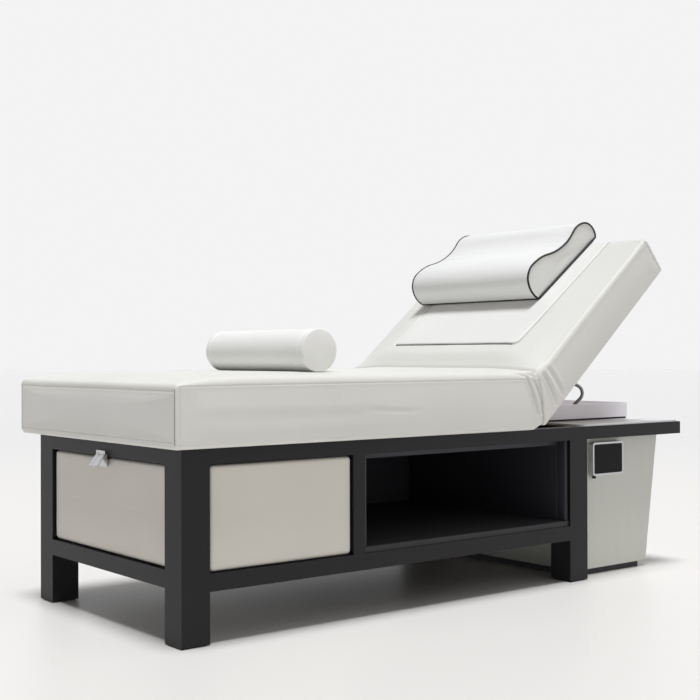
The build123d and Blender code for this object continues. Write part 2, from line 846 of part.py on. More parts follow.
def drain_fittings(x, y, floor_z):
    """Strainer in the bowl, bottle trap below it and the waste outlet on the far side."""
    disc = rod((x, y, floor_z), (0, 0, 1), strainer_radius, strainer_thickness)
    step = 360 / strainer_hole_count
    for i in range(strainer_hole_count):
        angle = radians(i * step)
        spot = (x + strainer_ring * cos(angle), y + strainer_ring * sin(angle), floor_z - overrun)
        disc = disc - rod(spot, (0, 0, 1), strainer_hole_radius, strainer_thickness + overrun * 2)
    save("basin_strainer", disc)
    tail_top = floor_z - seam
    tail_low = tail_top - tail_length
    trap = rod((x, y, tail_top), (0, 0, -1), tail_radius, tail_length)
    trap = trap + rod((x, y, tail_low), (0, 0, -1), trap_radius, trap_height)
    waste_z = tail_low - waste_lift / 2
    wall_y = cabinet_half + seam
    trap = trap + rod((x, y, waste_z), (0, 1, 0), waste_pipe_radius, wall_y - y)
    trap = trap + rod((x, wall_y, waste_z), (0, 1, 0), waste_radius, waste_reach)
    save("waste_trap", trap)


def spout():
    """Swan-neck spout on the wide near ledge of the basin."""
    x, y = foot_x + spout_station, spout_offset
    ledge = deck_top + gasket_height + basin_ledge_thickness
    base_top = ledge + spout_base_height
    base = rod((x, y, ledge), (0, 0, 1), spout_base_radius, spout_base_height)
    bore = spout_radius + pin_clearance
    socket = rod((x, y, base_top - spout_plug), (0, 0, 1), bore, spout_plug + overrun)
    shank = rod((x, y, ledge), (0, 0, -1), shank_radius, basin_ledge_thickness + overrun)
    save("spout_base", base + shank - socket)
    start_z = base_top - spout_plug + pin_clearance
    path, tip = spout_path(start_z, base_top + spout_foot_rise)
    tube = sweep(Plane(origin=(0, 0, start_z)) * Circle(spout_radius), path=path)
    nozzle = rod(tip, (0, 0, -1), nozzle_radius, nozzle_length)
    place = Pos(x, y, 0) * Rot(0, 0, spout_heading)
    save("spout_tube", place * tube)
    save("spout_nozzle", place * nozzle)


def spout_path(start_z, bend_z):
    """Riser, lean away from the bowl, round neck back over it, arm and drop; drawn towards +X."""
    r, low_r, drop_r = spout_bend, spout_low_bend, spout_drop
    lean = radians(spout_lean)
    half = lean / 2
    apex = spout_apex
    neck_z = apex - r
    low_end = (-low_r * (1 - cos(lean)), bend_z + low_r * sin(lean))
    low_mid = (-low_r * (1 - cos(half)), bend_z + low_r * sin(half))
    neck_low_z = neck_z - r * sin(lean)
    run = (neck_low_z - low_end[1]) * tan(lean)
    neck_low = (low_end[0] - run, neck_low_z)
    neck_x = neck_low[0] + r * cos(lean)
    turn = (radians(90) - lean) / 2
    neck_mid = (neck_x - r * cos(turn), neck_z + r * sin(turn))
    arm_end = neck_x + spout_arm
    bow = drop_r * sin(lean)
    tip = (arm_end + drop_r, apex - drop_r)

    def spot(p):
        return (p[0], 0, p[1])

    edges = [
        Line(spot((0, start_z)), spot((0, bend_z))),
        ThreePointArc(spot((0, bend_z)), spot(low_mid), spot(low_end)),
        Line(spot(low_end), spot(neck_low)),
        ThreePointArc(spot(neck_low), spot(neck_mid), spot((neck_x, apex))),
        Line(spot((neck_x, apex)), spot((arm_end, apex))),
        ThreePointArc(spot((arm_end, apex)), spot((arm_end + bow, apex - drop_r + bow)), spot(tip)),
    ]
    return Wire(edges), spot(tip)


def cabinet_outline(inset, low):
    """Side outline of the cabinet, slanting in towards the floor at the head end."""
    top = frame_top - seam
    slope = (cabinet_head_top - cabinet_head_bottom) / (top - plinth_height)
    x0 = foot_x + cabinet_start + inset
    head = foot_x + cabinet_head_top - inset
    x1 = head - slope * (top - low)
    return Polyline((x0, low), (x1, low), (head, top), (x0, top), close=True)


def cabinet():
    """Cabinet shell open at the top, recessed plinth."""
    half = cabinet_half
    shell = extrude(Plane.XZ * make_face(cabinet_outline(0, plinth_height)), half, both=True)
    low_edge = shell.edges().filter_by(Axis.Y).sort_by(Axis.Z)[:2].sort_by(Axis.X)[-1]
    shell = fillet(low_edge, cabinet_corner)
    wall = cabinet_wall
    core_face = make_face(cabinet_outline(wall, plinth_height + wall))
    core = extrude(Plane.XZ * core_face, half - wall, both=True)
    x0, x1 = foot_x + cabinet_start + wall, foot_x + cabinet_head_top - wall
    low, high = frame_top - seam - overrun, frame_top + overrun
    opening = block(x0, x1, wall - half, half - wall, low, high)
    floor_bowl = deck_top + gasket_height + basin_ledge_thickness - bowl_depth
    waste_z = floor_bowl - seam - tail_length - waste_lift / 2
    waste_hole = rod((basin_x, half - wall - overrun, waste_z), (0, 1, 0), waste_pipe_radius + pin_clearance,
                     wall + overrun * 2)
    save("cabinet_shell", shell - core - opening - waste_hole)
    inset = plinth_inset
    x0 = foot_x + cabinet_start + inset
    x1 = foot_x + cabinet_head_bottom - cabinet_corner
    save("cabinet_plinth", block(x0, x1, inset - half, half - inset, 0, plinth_height))


def supply():
    """Pump on the cabinet floor and the pipe up to the spout."""
    x, y = foot_x + spout_station, spout_offset
    z0 = plinth_height + cabinet_wall
    half_x, half_y = pump_length / 2, pump_width / 2
    body = block(x - half_x, x + half_x, y - half_y, y + half_y, z0, z0 + pump_height)
    body = fillet(body.edges().filter_by(Axis.Z), pump_edge)
    motor = rod((x, y + pump_width / 2, z0 + pump_height / 2), (0, 1, 0), motor_radius, motor_length)
    save("supply_pump", body + motor)
    top = deck_top - overrun
    save("supply_pipe", rod((x, y, z0 + pump_height), (0, 0, 1), shank_radius, top - z0 - pump_height))


def rounded_panel(inset, y, depth):
    """Rounded plate parallel to the cabinet's near face."""
    length = panel_length - inset * 2
    height = panel_height - inset * 2
    centre = (foot_x + panel_start + panel_length / 2, y, panel_bottom + panel_height / 2)
    plane = Plane(origin=centre, x_dir=(1, 0, 0), z_dir=(0, -1, 0))
    return extrude(plane * RectangleRounded(length, height, panel_corner - inset / 2), depth)


def control_panel():
    """Shallow metal housing with a bezel, a dark screen, side screws and a button below."""
    back = -cabinet_half
    front = back - panel_depth
    housing = rounded_panel(0, back, panel_depth) - rounded_panel(panel_wall, back - panel_wall, panel_depth)
    button_x = foot_x + panel_start + button_station
    button_y = back - panel_depth / 2 - button_shift
    hole = rod((button_x, button_y, panel_bottom - overrun), (0, 0, 1), button_radius + button_play,
               panel_wall + overrun * 2)
    save("panel_housing", housing - hole)
    window = rounded_panel(bezel_border, front + overrun, bezel_thickness + overrun * 2)
    bezel = rounded_panel(0, front, bezel_thickness) - window
    save("panel_bezel", bezel)
    save("panel_screen", rounded_panel(bezel_border + seam, front + screen_thickness / 2, screen_thickness))
    screws = []
    z = panel_bottom + panel_height * panel_screw_height_share
    x = foot_x + panel_start
    screws.append(rod((x, button_y, z), (-1, 0, 0), panel_screw_radius, panel_screw_reach))
    screws.append(rod((x + panel_length, button_y, z), (1, 0, 0), panel_screw_radius, panel_screw_reach))
    save("panel_screws", *screws)
    wall_top = panel_bottom + panel_wall + button_play
    cap = rod((button_x, button_y, wall_top), (0, 0, -1), button_radius, button_reach + panel_wall)
    collar = rod((button_x, button_y, wall_top), (0, 0, 1), button_radius + button_collar, button_collar)
    save("power_button", cap + collar)


def main():
    os.makedirs("parts", exist_ok=True)
    legs()
    top_frame()
    lower_frame()
    side_panels()
    carcass()
    save("seat_cushion", seat_cushion())
    save("seat_board", seat_board())
    backrest()
    ratchet_hinge()
    back_buffers()
    pillow()
    bolster()
    drawer()
    runners()
    deck()
    basin()
    spout()
    cabinet()
    supply()
    control_panel()


main()
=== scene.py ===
import math

import bmesh
import bpy
import numpy as np
from mathutils import Matrix, Vector, noise


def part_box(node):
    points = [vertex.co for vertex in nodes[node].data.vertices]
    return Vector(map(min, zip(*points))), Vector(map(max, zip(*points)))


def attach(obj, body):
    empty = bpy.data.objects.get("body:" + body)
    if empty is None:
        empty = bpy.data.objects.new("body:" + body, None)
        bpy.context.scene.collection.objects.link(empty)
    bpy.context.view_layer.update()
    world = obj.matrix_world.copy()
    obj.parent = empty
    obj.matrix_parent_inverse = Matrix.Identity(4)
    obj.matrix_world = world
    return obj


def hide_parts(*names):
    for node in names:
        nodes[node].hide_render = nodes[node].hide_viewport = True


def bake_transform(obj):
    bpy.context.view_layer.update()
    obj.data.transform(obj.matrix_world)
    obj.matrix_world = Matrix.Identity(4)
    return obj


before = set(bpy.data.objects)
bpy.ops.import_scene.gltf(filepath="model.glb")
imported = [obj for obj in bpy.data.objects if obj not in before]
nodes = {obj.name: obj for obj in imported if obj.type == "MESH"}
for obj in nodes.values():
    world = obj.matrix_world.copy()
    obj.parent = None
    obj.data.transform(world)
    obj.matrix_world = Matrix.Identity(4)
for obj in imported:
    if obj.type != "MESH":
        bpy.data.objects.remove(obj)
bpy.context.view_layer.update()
scene = bpy.context.scene

# Where the bed frame's foot face lies, in metres
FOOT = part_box("near_top_rail")[0].x

# Cushions in millimetres: stations run from the frame's foot face, heights from the floor
SEAT_BOTTOM, BACK_BOTTOM, TOP_EDGE = 482.0, 506.0, 635.0
FOOT_FACE, TIP = -40.0, 1987.0
HALF = 445.0
CUT_START, CUT_HALF = 1419.0, 295.0

# Hinge of the backrest and its photographed angle
HINGE_X, HINGE_Z = 1251.0, 482.0
BACK = math.radians(41.0)

BOLSTER_RADIUS, BOLSTER_LENGTH = 59.0, 490.0
BOLSTER_X, BOLSTER_Y, BOLSTER_Z = 478.0, -72.0, 720.3


def at(station, y, z):
    """A point of the frame in metres, from millimetres."""
    return Vector((FOOT + station / 1000, y / 1000, z / 1000))


def station_of(x):
    return (x - FOOT) * 1000


def mm(value):
    return value * 1000


def flat_to_rest(station, z):
    """Where a point of the flat backrest comes to when the back is raised."""
    dx, dz = station - HINGE_X, z - HINGE_Z
    c, s = math.cos(BACK), math.sin(BACK)
    return HINGE_X + dx * c - dz * s, HINGE_Z + dx * s + dz * c


def raised(station, y, z):
    """A point of the flat backrest, turned up about the hinge."""
    x, height = flat_to_rest(station, z)
    return at(x, y, height)


def smooth(t):
    t = min(1.0, max(0.0, t))
    return t * t * (3 - 2 * t)


def blended(start, end, share):
    return start + (end - start) * share


# Mesh helpers

CORD_SIDES = 10


def link_object(name, data):
    obj = bpy.data.objects.new(name, data)
    scene.collection.objects.link(obj)
    return obj


def shade_smooth(mesh):
    mesh.polygons.foreach_set("use_smooth", [True] * len(mesh.polygons))
    mesh.update()


def new_object(name, verts, faces):
    """Object whose faces all look outwards and are shaded smooth."""
    mesh = bpy.data.meshes.new(name)
    mesh.from_pydata([tuple(v) for v in verts], [], faces)
    mesh.update()
    bm = bmesh.new()
    bm.from_mesh(mesh)
    bmesh.ops.recalc_face_normals(bm, faces=bm.faces)
    bm.to_mesh(mesh)
    bm.free()
    shade_smooth(mesh)
    return link_object(name, mesh)


def skin(name, rings):
    """Closed rings of equal count joined into a skin, with fans at the two ends."""
    n = len(rings[0])
    verts = [p for ring in rings for p in ring]
    faces = []
    for i in range(len(rings) - 1):
        for j in range(n):
            a, b = i * n + j, i * n + (j + 1) % n
            faces.append((a, b, b + n, a + n))
    for ring, base in ((rings[0], 0), (rings[-1], (len(rings) - 1) * n)):
        centre = len(verts)
        verts.append(sum(ring, Vector()) / n)
        faces += [(centre, base + j, base + (j + 1) % n) for j in range(n)]
    return new_object(name, verts, faces)


def cord_rings(points, radius, closed):
    """Circles along points, with a frame carried from point to point."""
    n = len(points)
    angles = [2 * math.pi * k / CORD_SIDES for k in range(CORD_SIDES)]
    rings = []
    normal = None
    for i, p in enumerate(points):
        before = points[(i - 1) % n] if closed or i else p
        after = points[(i + 1) % n] if closed or i < n - 1 else p
        along = (after - before).normalized()
        if normal is None:
            normal = along.orthogonal().normalized()
        normal = (normal - along * normal.dot(along)).normalized()
        other = along.cross(normal)
        rings.append([p + (normal * math.cos(a) + other * math.sin(a)) * radius for a in angles])
    return rings


def cord(name, points, radius, closed=False):
    """Round cord along points, open with capped ends or closed. The radius is in metres."""
    rings = cord_rings(points, radius, closed)
    if not closed:
        return skin(name, rings)
    # The carried frame has turned on its way, so the last ring joins the first at its nearest side
    shift = min(range(CORD_SIDES), key=lambda k: (rings[0][k] - rings[-1][0]).length)
    faces = []
    for i in range(len(rings)):
        for j in range(CORD_SIDES):
            follow = (j + 1) % CORD_SIDES
            a, b = i * CORD_SIDES + j, i * CORD_SIDES + follow
            if i < len(rings) - 1:
                faces.append((a, b, b + CORD_SIDES, a + CORD_SIDES))
            else:
                faces.append((a, b, (j + 1 + shift) % CORD_SIDES, (j + shift) % CORD_SIDES))
    return new_object(name, [p for ring in rings for p in ring], faces)


def apply_modifiers(obj):
    bpy.context.view_layer.update()
    graph = bpy.context.evaluated_depsgraph_get()
    mesh = bpy.data.meshes.new_from_object(obj.evaluated_get(graph))
    obj.modifiers.clear()
    obj.data = mesh
    shade_smooth(mesh)


def join(name, objects):
    verts, faces = [], []
    for obj in objects:
        base = len(verts)
        verts += [obj.matrix_world @ v.co for v in obj.data.vertices]
        faces += [tuple(base + i for i in f.vertices) for f in obj.data.polygons]
    for obj in objects:
        bpy.data.objects.remove(obj)
    return new_object(name, verts, faces)


def densify(loop, count):
    """Evenly spaced points along a closed loop."""
    pts = np.array(loop + [loop[0]])
    steps = np.hypot(*np.diff(pts, axis=0).T)
    run = np.concatenate([[0], np.cumsum(steps)])
    where = np.linspace(0, run[-1], count, endpoint=False)
    return list(zip(np.interp(where, run, pts[:, 0]), np.interp(where, run, pts[:, 1])))


def rounded_rectangle(x0, x1, half, radii, steps=7):
    """Loop of (x, y) with a radius for each corner: foot near, foot far, head far, head near."""
    corners = ((x0, -half, 180), (x1, -half, 270), (x1, half, 0), (x0, half, 90))
    foot_near, foot_far, head_far, head_near = radii
    points = []
    for (x, y, start), r in zip(corners, (foot_near, head_near, head_far, foot_far)):
        cx = x + r if x == x0 else x - r
        cy = y + r if y < 0 else y - r
        for k in range(steps + 1):
            a = math.radians(start + 90 * k / steps)
            points.append((cx + r * math.cos(a), cy + r * math.sin(a)))
    return points


# Shader helpers

# The span that most of a noise node's values lie in
NOISE_SPAN = (0.3, 0.7)


def material(name):
    mat = bpy.data.materials.new(name)
    mat.use_nodes = True
    tree = mat.node_tree
    tree.nodes.clear()
    out = tree.nodes.new("ShaderNodeOutputMaterial")
    shader = tree.nodes.new("ShaderNodeBsdfPrincipled")
    tree.links.new(shader.outputs[0], out.inputs[0])
    return mat, tree, shader


def set_inputs(node, **values):
    """Constants of a node, each named as its socket with _ for a space."""
    for name, value in values.items():
        node.inputs[name.replace("_", " ")].default_value = value


def linear(*color):
    """Linear parts of a screen colour given from 0 to 255."""
    def part(c):
        return (c / 255) / 12.92 if c <= 10 else (((c / 255) + 0.055) / 1.055) ** 2.4
    return tuple(part(c) for c in color)


def shade(color, amount):
    return tuple(min(1.0, c * amount) for c in color)


def coords(tree, scale=(1, 1, 1)):
    tex = tree.nodes.new("ShaderNodeTexCoord")
    mapping = tree.nodes.new("ShaderNodeMapping")
    set_inputs(mapping, Scale=scale)
    tree.links.new(tex.outputs["Object"], mapping.inputs["Vector"])
    return mapping.outputs[0]


def noise_node(tree, vector, scale, detail, rough=0.5):
    n = tree.nodes.new("ShaderNodeTexNoise")
    set_inputs(n, Scale=scale, Detail=detail, Roughness=rough)
    tree.links.new(vector, n.inputs["Vector"])
    return n.outputs[0]


def cell_borders(tree, vector, scale):
    n = tree.nodes.new("ShaderNodeTexVoronoi")
    n.feature = "DISTANCE_TO_EDGE"
    set_inputs(n, Scale=scale)
    tree.links.new(vector, n.inputs["Vector"])
    return n.outputs[0]


def spread(tree, value, span, target=(0, 1)):
    """Maps one span of values onto another."""
    n = tree.nodes.new("ShaderNodeMapRange")
    set_inputs(n, From_Min=span[0], From_Max=span[1], To_Min=target[0], To_Max=target[1])
    tree.links.new(value, n.inputs["Value"])
    return n.outputs[0]


def two_tone(tree, factor, dark, light):
    n = tree.nodes.new("ShaderNodeMix")
    n.data_type = "RGBA"
    tree.links.new(factor, n.inputs["Factor"])
    n.inputs[6].default_value = (*dark, 1)
    n.inputs[7].default_value = (*light, 1)
    return n.outputs[2]


def bump(tree, height, distance, strength, normal=None):
    n = tree.nodes.new("ShaderNodeBump")
    set_inputs(n, Distance=distance, Strength=strength)
    tree.links.new(height, n.inputs["Height"])
    if normal is not None:
        tree.links.new(normal, n.inputs["Normal"])
    return n.outputs[0]


def wire(tree, shader, tone, roughness, normal):
    """Links what varies over a surface to its shader."""
    for socket, output in (("Base Color", tone), ("Roughness", roughness), ("Normal", normal)):
        tree.links.new(output, shader.inputs[socket])


# Materials

def leather(name, color, rough=0.46, grain=420.0, depth=0.00022, sheen=0.12):
    """Fine pebbled grain with slow unevenness, slight mottling and duller pores."""
    mat, tree, shader = material(name)
    base = linear(*color)
    vec = coords(tree)
    cells = cell_borders(tree, vec, grain)
    fine = noise_node(tree, vec, scale=grain * 2.2, detail=4)
    slow = noise_node(tree, vec, scale=7.0, detail=3)
    cloud = noise_node(tree, vec, scale=2.3, detail=2)
    tone = two_tone(tree, spread(tree, cloud, NOISE_SPAN), shade(base, 0.965), shade(base, 1.015))
    roughness = spread(tree, fine, NOISE_SPAN, (rough - 0.06, rough + 0.07))
    pebble = bump(tree, spread(tree, cells, (0, 0.25)), distance=depth, strength=0.55)
    pores = bump(tree, fine, distance=depth * 0.6, strength=0.4, normal=pebble)
    rolling = bump(tree, slow, distance=0.004, strength=0.16, normal=pores)
    wire(tree, shader, tone, roughness, rolling)
    set_inputs(shader, Sheen_Weight=sheen, Sheen_Roughness=0.4, Specular_IOR_Level=0.42)
    return mat


def powder_coat(name, color, rough=0.42):
    """Black powder coat: fine orange peel and faint scuffs along the tubes."""
    mat, tree, shader = material(name)
    base = linear(*color)
    vec = coords(tree)
    peel = noise_node(tree, vec, scale=950.0, detail=2)
    cloud = noise_node(tree, vec, scale=5.0, detail=4)
    scuff = noise_node(tree, coords(tree, (3, 60, 60)), scale=6.0, detail=5, rough=0.7)
    tone = two_tone(tree, spread(tree, cloud, (0.3, 0.75)), shade(base, 0.9), shade(base, 1.12))
    roughness = spread(tree, scuff, (0.35, 0.75), (rough - 0.05, rough + 0.1))
    wire(tree, shader, tone, roughness, bump(tree, peel, distance=0.00012, strength=0.5))
    set_inputs(shader, Specular_IOR_Level=0.25)
    return mat


def metal(name, color, rough, brushed=None, scratches=0.03):
    """Bare metal with fine scratches. brushed stretches them along the axis of its smallest number."""
    mat, tree, shader = material(name)
    base = linear(*color)
    streak = noise_node(tree, coords(tree, brushed or (1, 1, 1)), scale=260.0 if brushed else 60.0, detail=4)
    cloud = noise_node(tree, coords(tree), scale=9.0, detail=3)
    tone = two_tone(tree, cloud, shade(base, 0.94), shade(base, 1.04))
    roughness = spread(tree, streak, NOISE_SPAN, (rough, rough + scratches))
    wire(tree, shader, tone, roughness, bump(tree, streak, distance=0.00005, strength=0.3))
    set_inputs(shader, Metallic=1.0)
    return mat


def board(name, color, rough=0.5, grain=(2, 30, 30), contrast=0.08):
    """Laminated or bare board: long soft figure along its length."""
    mat, tree, shader = material(name)
    base = linear(*color)
    figure = noise_node(tree, coords(tree, grain), scale=4.0, detail=6, rough=0.6)
    pores = noise_node(tree, coords(tree), scale=700.0, detail=2)
    dark, light = shade(base, 1 - contrast), shade(base, 1 + contrast)
    tone = two_tone(tree, spread(tree, figure, NOISE_SPAN), dark, light)
    roughness = spread(tree, pores, NOISE_SPAN, (rough - 0.04, rough + 0.06))
    wire(tree, shader, tone, roughness, bump(tree, pores, distance=0.00008, strength=0.4))
    return mat


def plastic(name, color, rough, coat=0.0, ripple=0.00004, specular=0.5):
    """Moulded plastic, glass or glaze with a faint ripple."""
    mat, tree, shader = material(name)
    base = linear(*color)
    vec = coords(tree)
    fine = noise_node(tree, vec, scale=500.0, detail=2)
    cloud = noise_node(tree, vec, scale=3.0, detail=3)
    tone = two_tone(tree, spread(tree, cloud, NOISE_SPAN), shade(base, 0.97), shade(base, 1.02))
    roughness = spread(tree, fine, NOISE_SPAN, (rough - 0.02, rough + 0.04))
    wire(tree, shader, tone, roughness, bump(tree, fine, distance=ripple, strength=0.5))
    set_inputs(shader, Coat_Weight=coat, Coat_Roughness=0.05, Specular_IOR_Level=specular)
    return mat


DULL_LEATHER = {"grain": 500.0, "depth": 0.0002, "sheen": 0.0}
LOOKS = (
    (leather, "leather_white", (228, 227, 222), {}),
    (leather, "leather_insert", (235, 234, 231), {}),
    (leather, "leather_pillow", (238, 238, 236), {"rough": 0.5}),
    # The bolster's leather is a lighter copy of the white leather: painted light, standing for the fuller
    # fill that falls on the bolster.
    (leather, "leather_bolster_painted_light", (245, 245, 242), {"rough": 0.5}),
    (leather, "leather_panel", (224, 220, 211), {}),
    (leather, "piping", (16, 16, 17), {"rough": 0.55, **DULL_LEATHER}),
    (leather, "gap_shadow", (112, 110, 108), {"rough": 0.7, **DULL_LEATHER}),
    (powder_coat, "frame_black", (17, 17, 19), {}),
    # The two black boards are lit and shaded copies of one board: board_black is painted light for the
    # shaded walls of the bay, the darker copy below painted shade for the shelf, plinth and gaps round the
    # side pads.
    (board, "board_black", (50, 50, 57), {"rough": 0.6}),
    (board, "shelf_black_painted_shade", (24, 24, 28), {"rough": 0.6}),
    (board, "plywood", (176, 143, 104), {"rough": 0.6, "grain": (1.5, 22, 22), "contrast": 0.16}),
    (metal, "steel", (168, 168, 172), {"rough": 0.32, "brushed": (2, 60, 60), "scratches": 0.12}),
    # chrome is darker than bare chrome: painted reflection, standing for dark surroundings that the spout
    # would mirror.
    (metal, "chrome", (122, 120, 119), {"rough": 0.08}),
    (metal, "pull_chrome", (196, 196, 197), {"rough": 0.16}),
    (plastic, "rubber_black", (28, 28, 29), {"rough": 0.7, "ripple": 0.0001, "specular": 0.3}),
    # basin_white is whiter than the basin's own white: partly its glaze, partly painted light on its near
    # wall, which lies in the backrest's shade.
    (plastic, "basin_white", (248, 245, 251), {"rough": 0.16, "coat": 0.4}),
    (plastic, "deck_white", (222, 221, 224), {"rough": 0.3, "coat": 0.15}),
    (board, "cabinet_white", (209, 210, 203), {"rough": 0.45, "grain": (12, 12, 1.2), "contrast": 0.015}),
    (board, "drawer_board", (150, 149, 146), {"rough": 0.6, "grain": (1.5, 12, 12), "contrast": 0.04}),
    (plastic, "plastic_grey", (70, 70, 73), {"rough": 0.5}),
    (metal, "panel_metal", (186, 186, 188), {"rough": 0.3, "brushed": (60, 2, 60), "scratches": 0.1}),
    (plastic, "screen", (11, 11, 13), {"rough": 0.12, "ripple": 0.0, "specular": 0.12}),
)
MAT = {name: make(name, color, **facts) for make, name, color, facts in LOOKS}

# CAD pieces that look a little different from their slot in the photo. The darker black board on the shelf,
# plinth and side panel boards is painted shade.
OWN_LOOKS = {
    "shelf_board": "shelf_black_painted_shade",
    "cabinet_plinth": "shelf_black_painted_shade",
    "side_panel_boards": "shelf_black_painted_shade",
    "drawer_pull": "pull_chrome",
}


def dress_nodes():
    """Gives every CAD piece the look that its slot names, and then some their own."""
    for obj in nodes.values():
        for slot in obj.material_slots:
            name = slot.material.name.split(".")[0] if slot.material else ""
            if name in MAT:
                slot.material = MAT[name]
    for name, look in OWN_LOOKS.items():
        nodes[name].material_slots[0].material = MAT[look]


def finish_piece(obj, look, body=None, replaced=()):
    """Gives a piece its look and says what it rides on and stands for."""
    obj.data.materials.clear()
    obj.data.materials.append(MAT[look])
    if body:
        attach(obj, body)
    if replaced:
        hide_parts(*replaced)


dress_nodes()


# Cloth simulation for the pillow and the bolster

CLOTH_FRAMES = 20


def inflate(obj, held, cap):
    """Blows a sewn cover up as cloth. The held points, its seams and its base, stay put.

    No point moves further than cap, in metres.
    """
    start = np.array([v.co for v in obj.data.vertices])
    group = obj.vertex_groups.new(name="held")
    group.add([int(i) for i in held], 1.0, "REPLACE")
    cloth = obj.modifiers.new("cloth", "CLOTH")
    cloth.settings.quality = 6
    cloth.settings.mass = 0.25
    cloth.settings.tension_stiffness = 16
    cloth.settings.compression_stiffness = 14
    cloth.settings.shear_stiffness = 5
    cloth.settings.bending_stiffness = 0.5
    cloth.settings.air_damping = 2
    cloth.settings.use_pressure = True
    cloth.settings.uniform_pressure_force = 4.0
    cloth.settings.vertex_group_mass = "held"
    cloth.settings.effector_weights.gravity = 0
    cloth.collision_settings.use_collision = False
    cloth.point_cache.frame_start = 1
    cloth.point_cache.frame_end = CLOTH_FRAMES
    for step in range(1, CLOTH_FRAMES + 1):
        scene.frame_set(step)
    apply_modifiers(obj)
    scene.frame_set(1)
    move = np.array([v.co for v in obj.data.vertices]) - start
    length = np.linalg.norm(move, axis=1, keepdims=True)
    move *= cap * np.tanh(length / cap) / np.maximum(length, 1e-9)
    obj.data.vertices.foreach_set("co", (start + move).ravel())
    obj.data.update()
    finer = obj.modifiers.new("finer", "SUBSURF")
    finer.levels = 1
    apply_modifiers(obj)


# Bed upholstery: one skin over seat and backrest, made of rings across the bed

BOTTOM_STEPS, CORNER_STEPS, SIDE_STEPS, EDGE_STEPS, TOP_STEPS = 8, 5, 44, 12, 24
CREASE_STEPS = 34
TURN_STEPS = 8

# Sewn seam below the top edge: how far below, and how deep
SEAM_SHAPE = ((7.0, 0.0), (3.4, -0.2), (2.0, 0.1), (1.0, 1.0), (0.0, 1.5), (-1.0, 0.9))
SEAM_REACH = 9.0

# Rounding of the long top edges: how far in it runs, and how far below the edge line it starts
SEAT_WIDTH, SEAT_DROP = 20.0, 3.0
BACK_WIDTH, BACK_DROP = 13.0, 9.0
CREASE_WIDTH, CREASE_DROP = 15.0, 6.0
ROUND_POWER, CROWN_POWER, CROWN_REACH = 2.1, 1.8, 0.42

# Heights over the edge line at the crease, and the stations its rings lie between
CREASE_CROWN, CREASE_SHOULDER = 31.0, 21.0
SEAT_STRAIGHT_END, BACK_STRAIGHT_START = 1092, 1420
SEAT_CREASE_LOW, BACK_CREASE_LOW, BACK_CREASE_TOP = 1213, 1235, 1310.5
VALLEY_X = 1193.7

# The backrest's lower edge is rounded at its hinge end, on the foot side of this station
HEEL_STATION, HEEL_RADIUS = 1245, 10

# Grooves of the seams that run round the bed near its two ends: station and depth
FOOT_GROOVE = ((-31.0, 0.2), (-30.0, 1.5), (-29.2, 2.1), (-28.4, 1.5), (-27.4, 0.2), (-25.0, 0.0),
               (-21.5, 0.0))
TIP_GROOVE = ((1962.0, 0.0), (1966.0, 0.0), (1968.4, 0.2), (1969.4, 1.4), (1970.2, 2.0), (1971.0, 1.4),
              (1972.0, 0.2))

# Round over into each end face: its length, and the face's inset at the sides, below and above
FOOT_TURN, FOOT_SIDE_INSET, FOOT_LOW_INSET, FOOT_TOP_INSET = 8, 4.5, 12, 9
TIP_TURN, TIP_SIDE_INSET, TIP_LOW_INSET, TIP_TOP_INSET = 9, 6, 9, 7
FOOT_DOME, TIP_DOME = 3.5, 3

# Sewn edge of the foot face: inset from its outline, and how far it is sunk
FOOT_SEAM = ((12, 0), (7.4, -0.2), (6.2, 0.9), (5.4, 1.6), (4.6, 0.9), (3.4, -0.1), (1.6, 0))


def top_height(inward, half, crown, shoulder, width, drop):
    """Height of the top face over the edge line, by the distance inward from the side."""
    if inward < width:
        t = 1 - max(0.0, inward) / width
        return -drop + (shoulder + drop) * (1 - t ** ROUND_POWER) ** (1 / ROUND_POWER)
    t = min(1.0, (inward - width) / (half * CROWN_REACH))
    return shoulder + (crown - shoulder) * (1 - (1 - t) ** CROWN_POWER)


def half_outline(half, low, high, low_radius, bow, crown, shoulder, width, drop, seam):
    """(y, height, rise) from the middle of the bottom round the side to the middle of the top."""
    points = [((half - low_radius) * k / BOTTOM_STEPS, low, 0) for k in range(BOTTOM_STEPS)]
    for k in range(CORNER_STEPS):
        a = math.radians(-90 + 90 * k / CORNER_STEPS)
        points.append((half - low_radius * (1 - math.cos(a)), low + low_radius * (1 + math.sin(a)), 0))
    for k in range(SIDE_STEPS):
        t = k / SIDE_STEPS
        height = blended(low + low_radius, high - drop - SEAM_REACH, t)
        points.append((half + bow * math.sin(math.pi * t), height, 0))
    for below, depth in SEAM_SHAPE:
        points.append((half - depth * seam, high - drop - below, 0))
    for k in range(1, EDGE_STEPS):
        inward = width * (1 - math.cos(math.radians(90 * k / EDGE_STEPS)))
        rise = top_height(inward, half, crown, shoulder, width, drop)
        points.append((half - inward, high + min(rise, 0), max(rise, 0)))
    for k in range(TOP_STEPS + 1):
        inward = width + (half - width) * k / TOP_STEPS
        points.append((half - inward, high, top_height(inward, half, crown, shoulder, width, drop)))
    return points


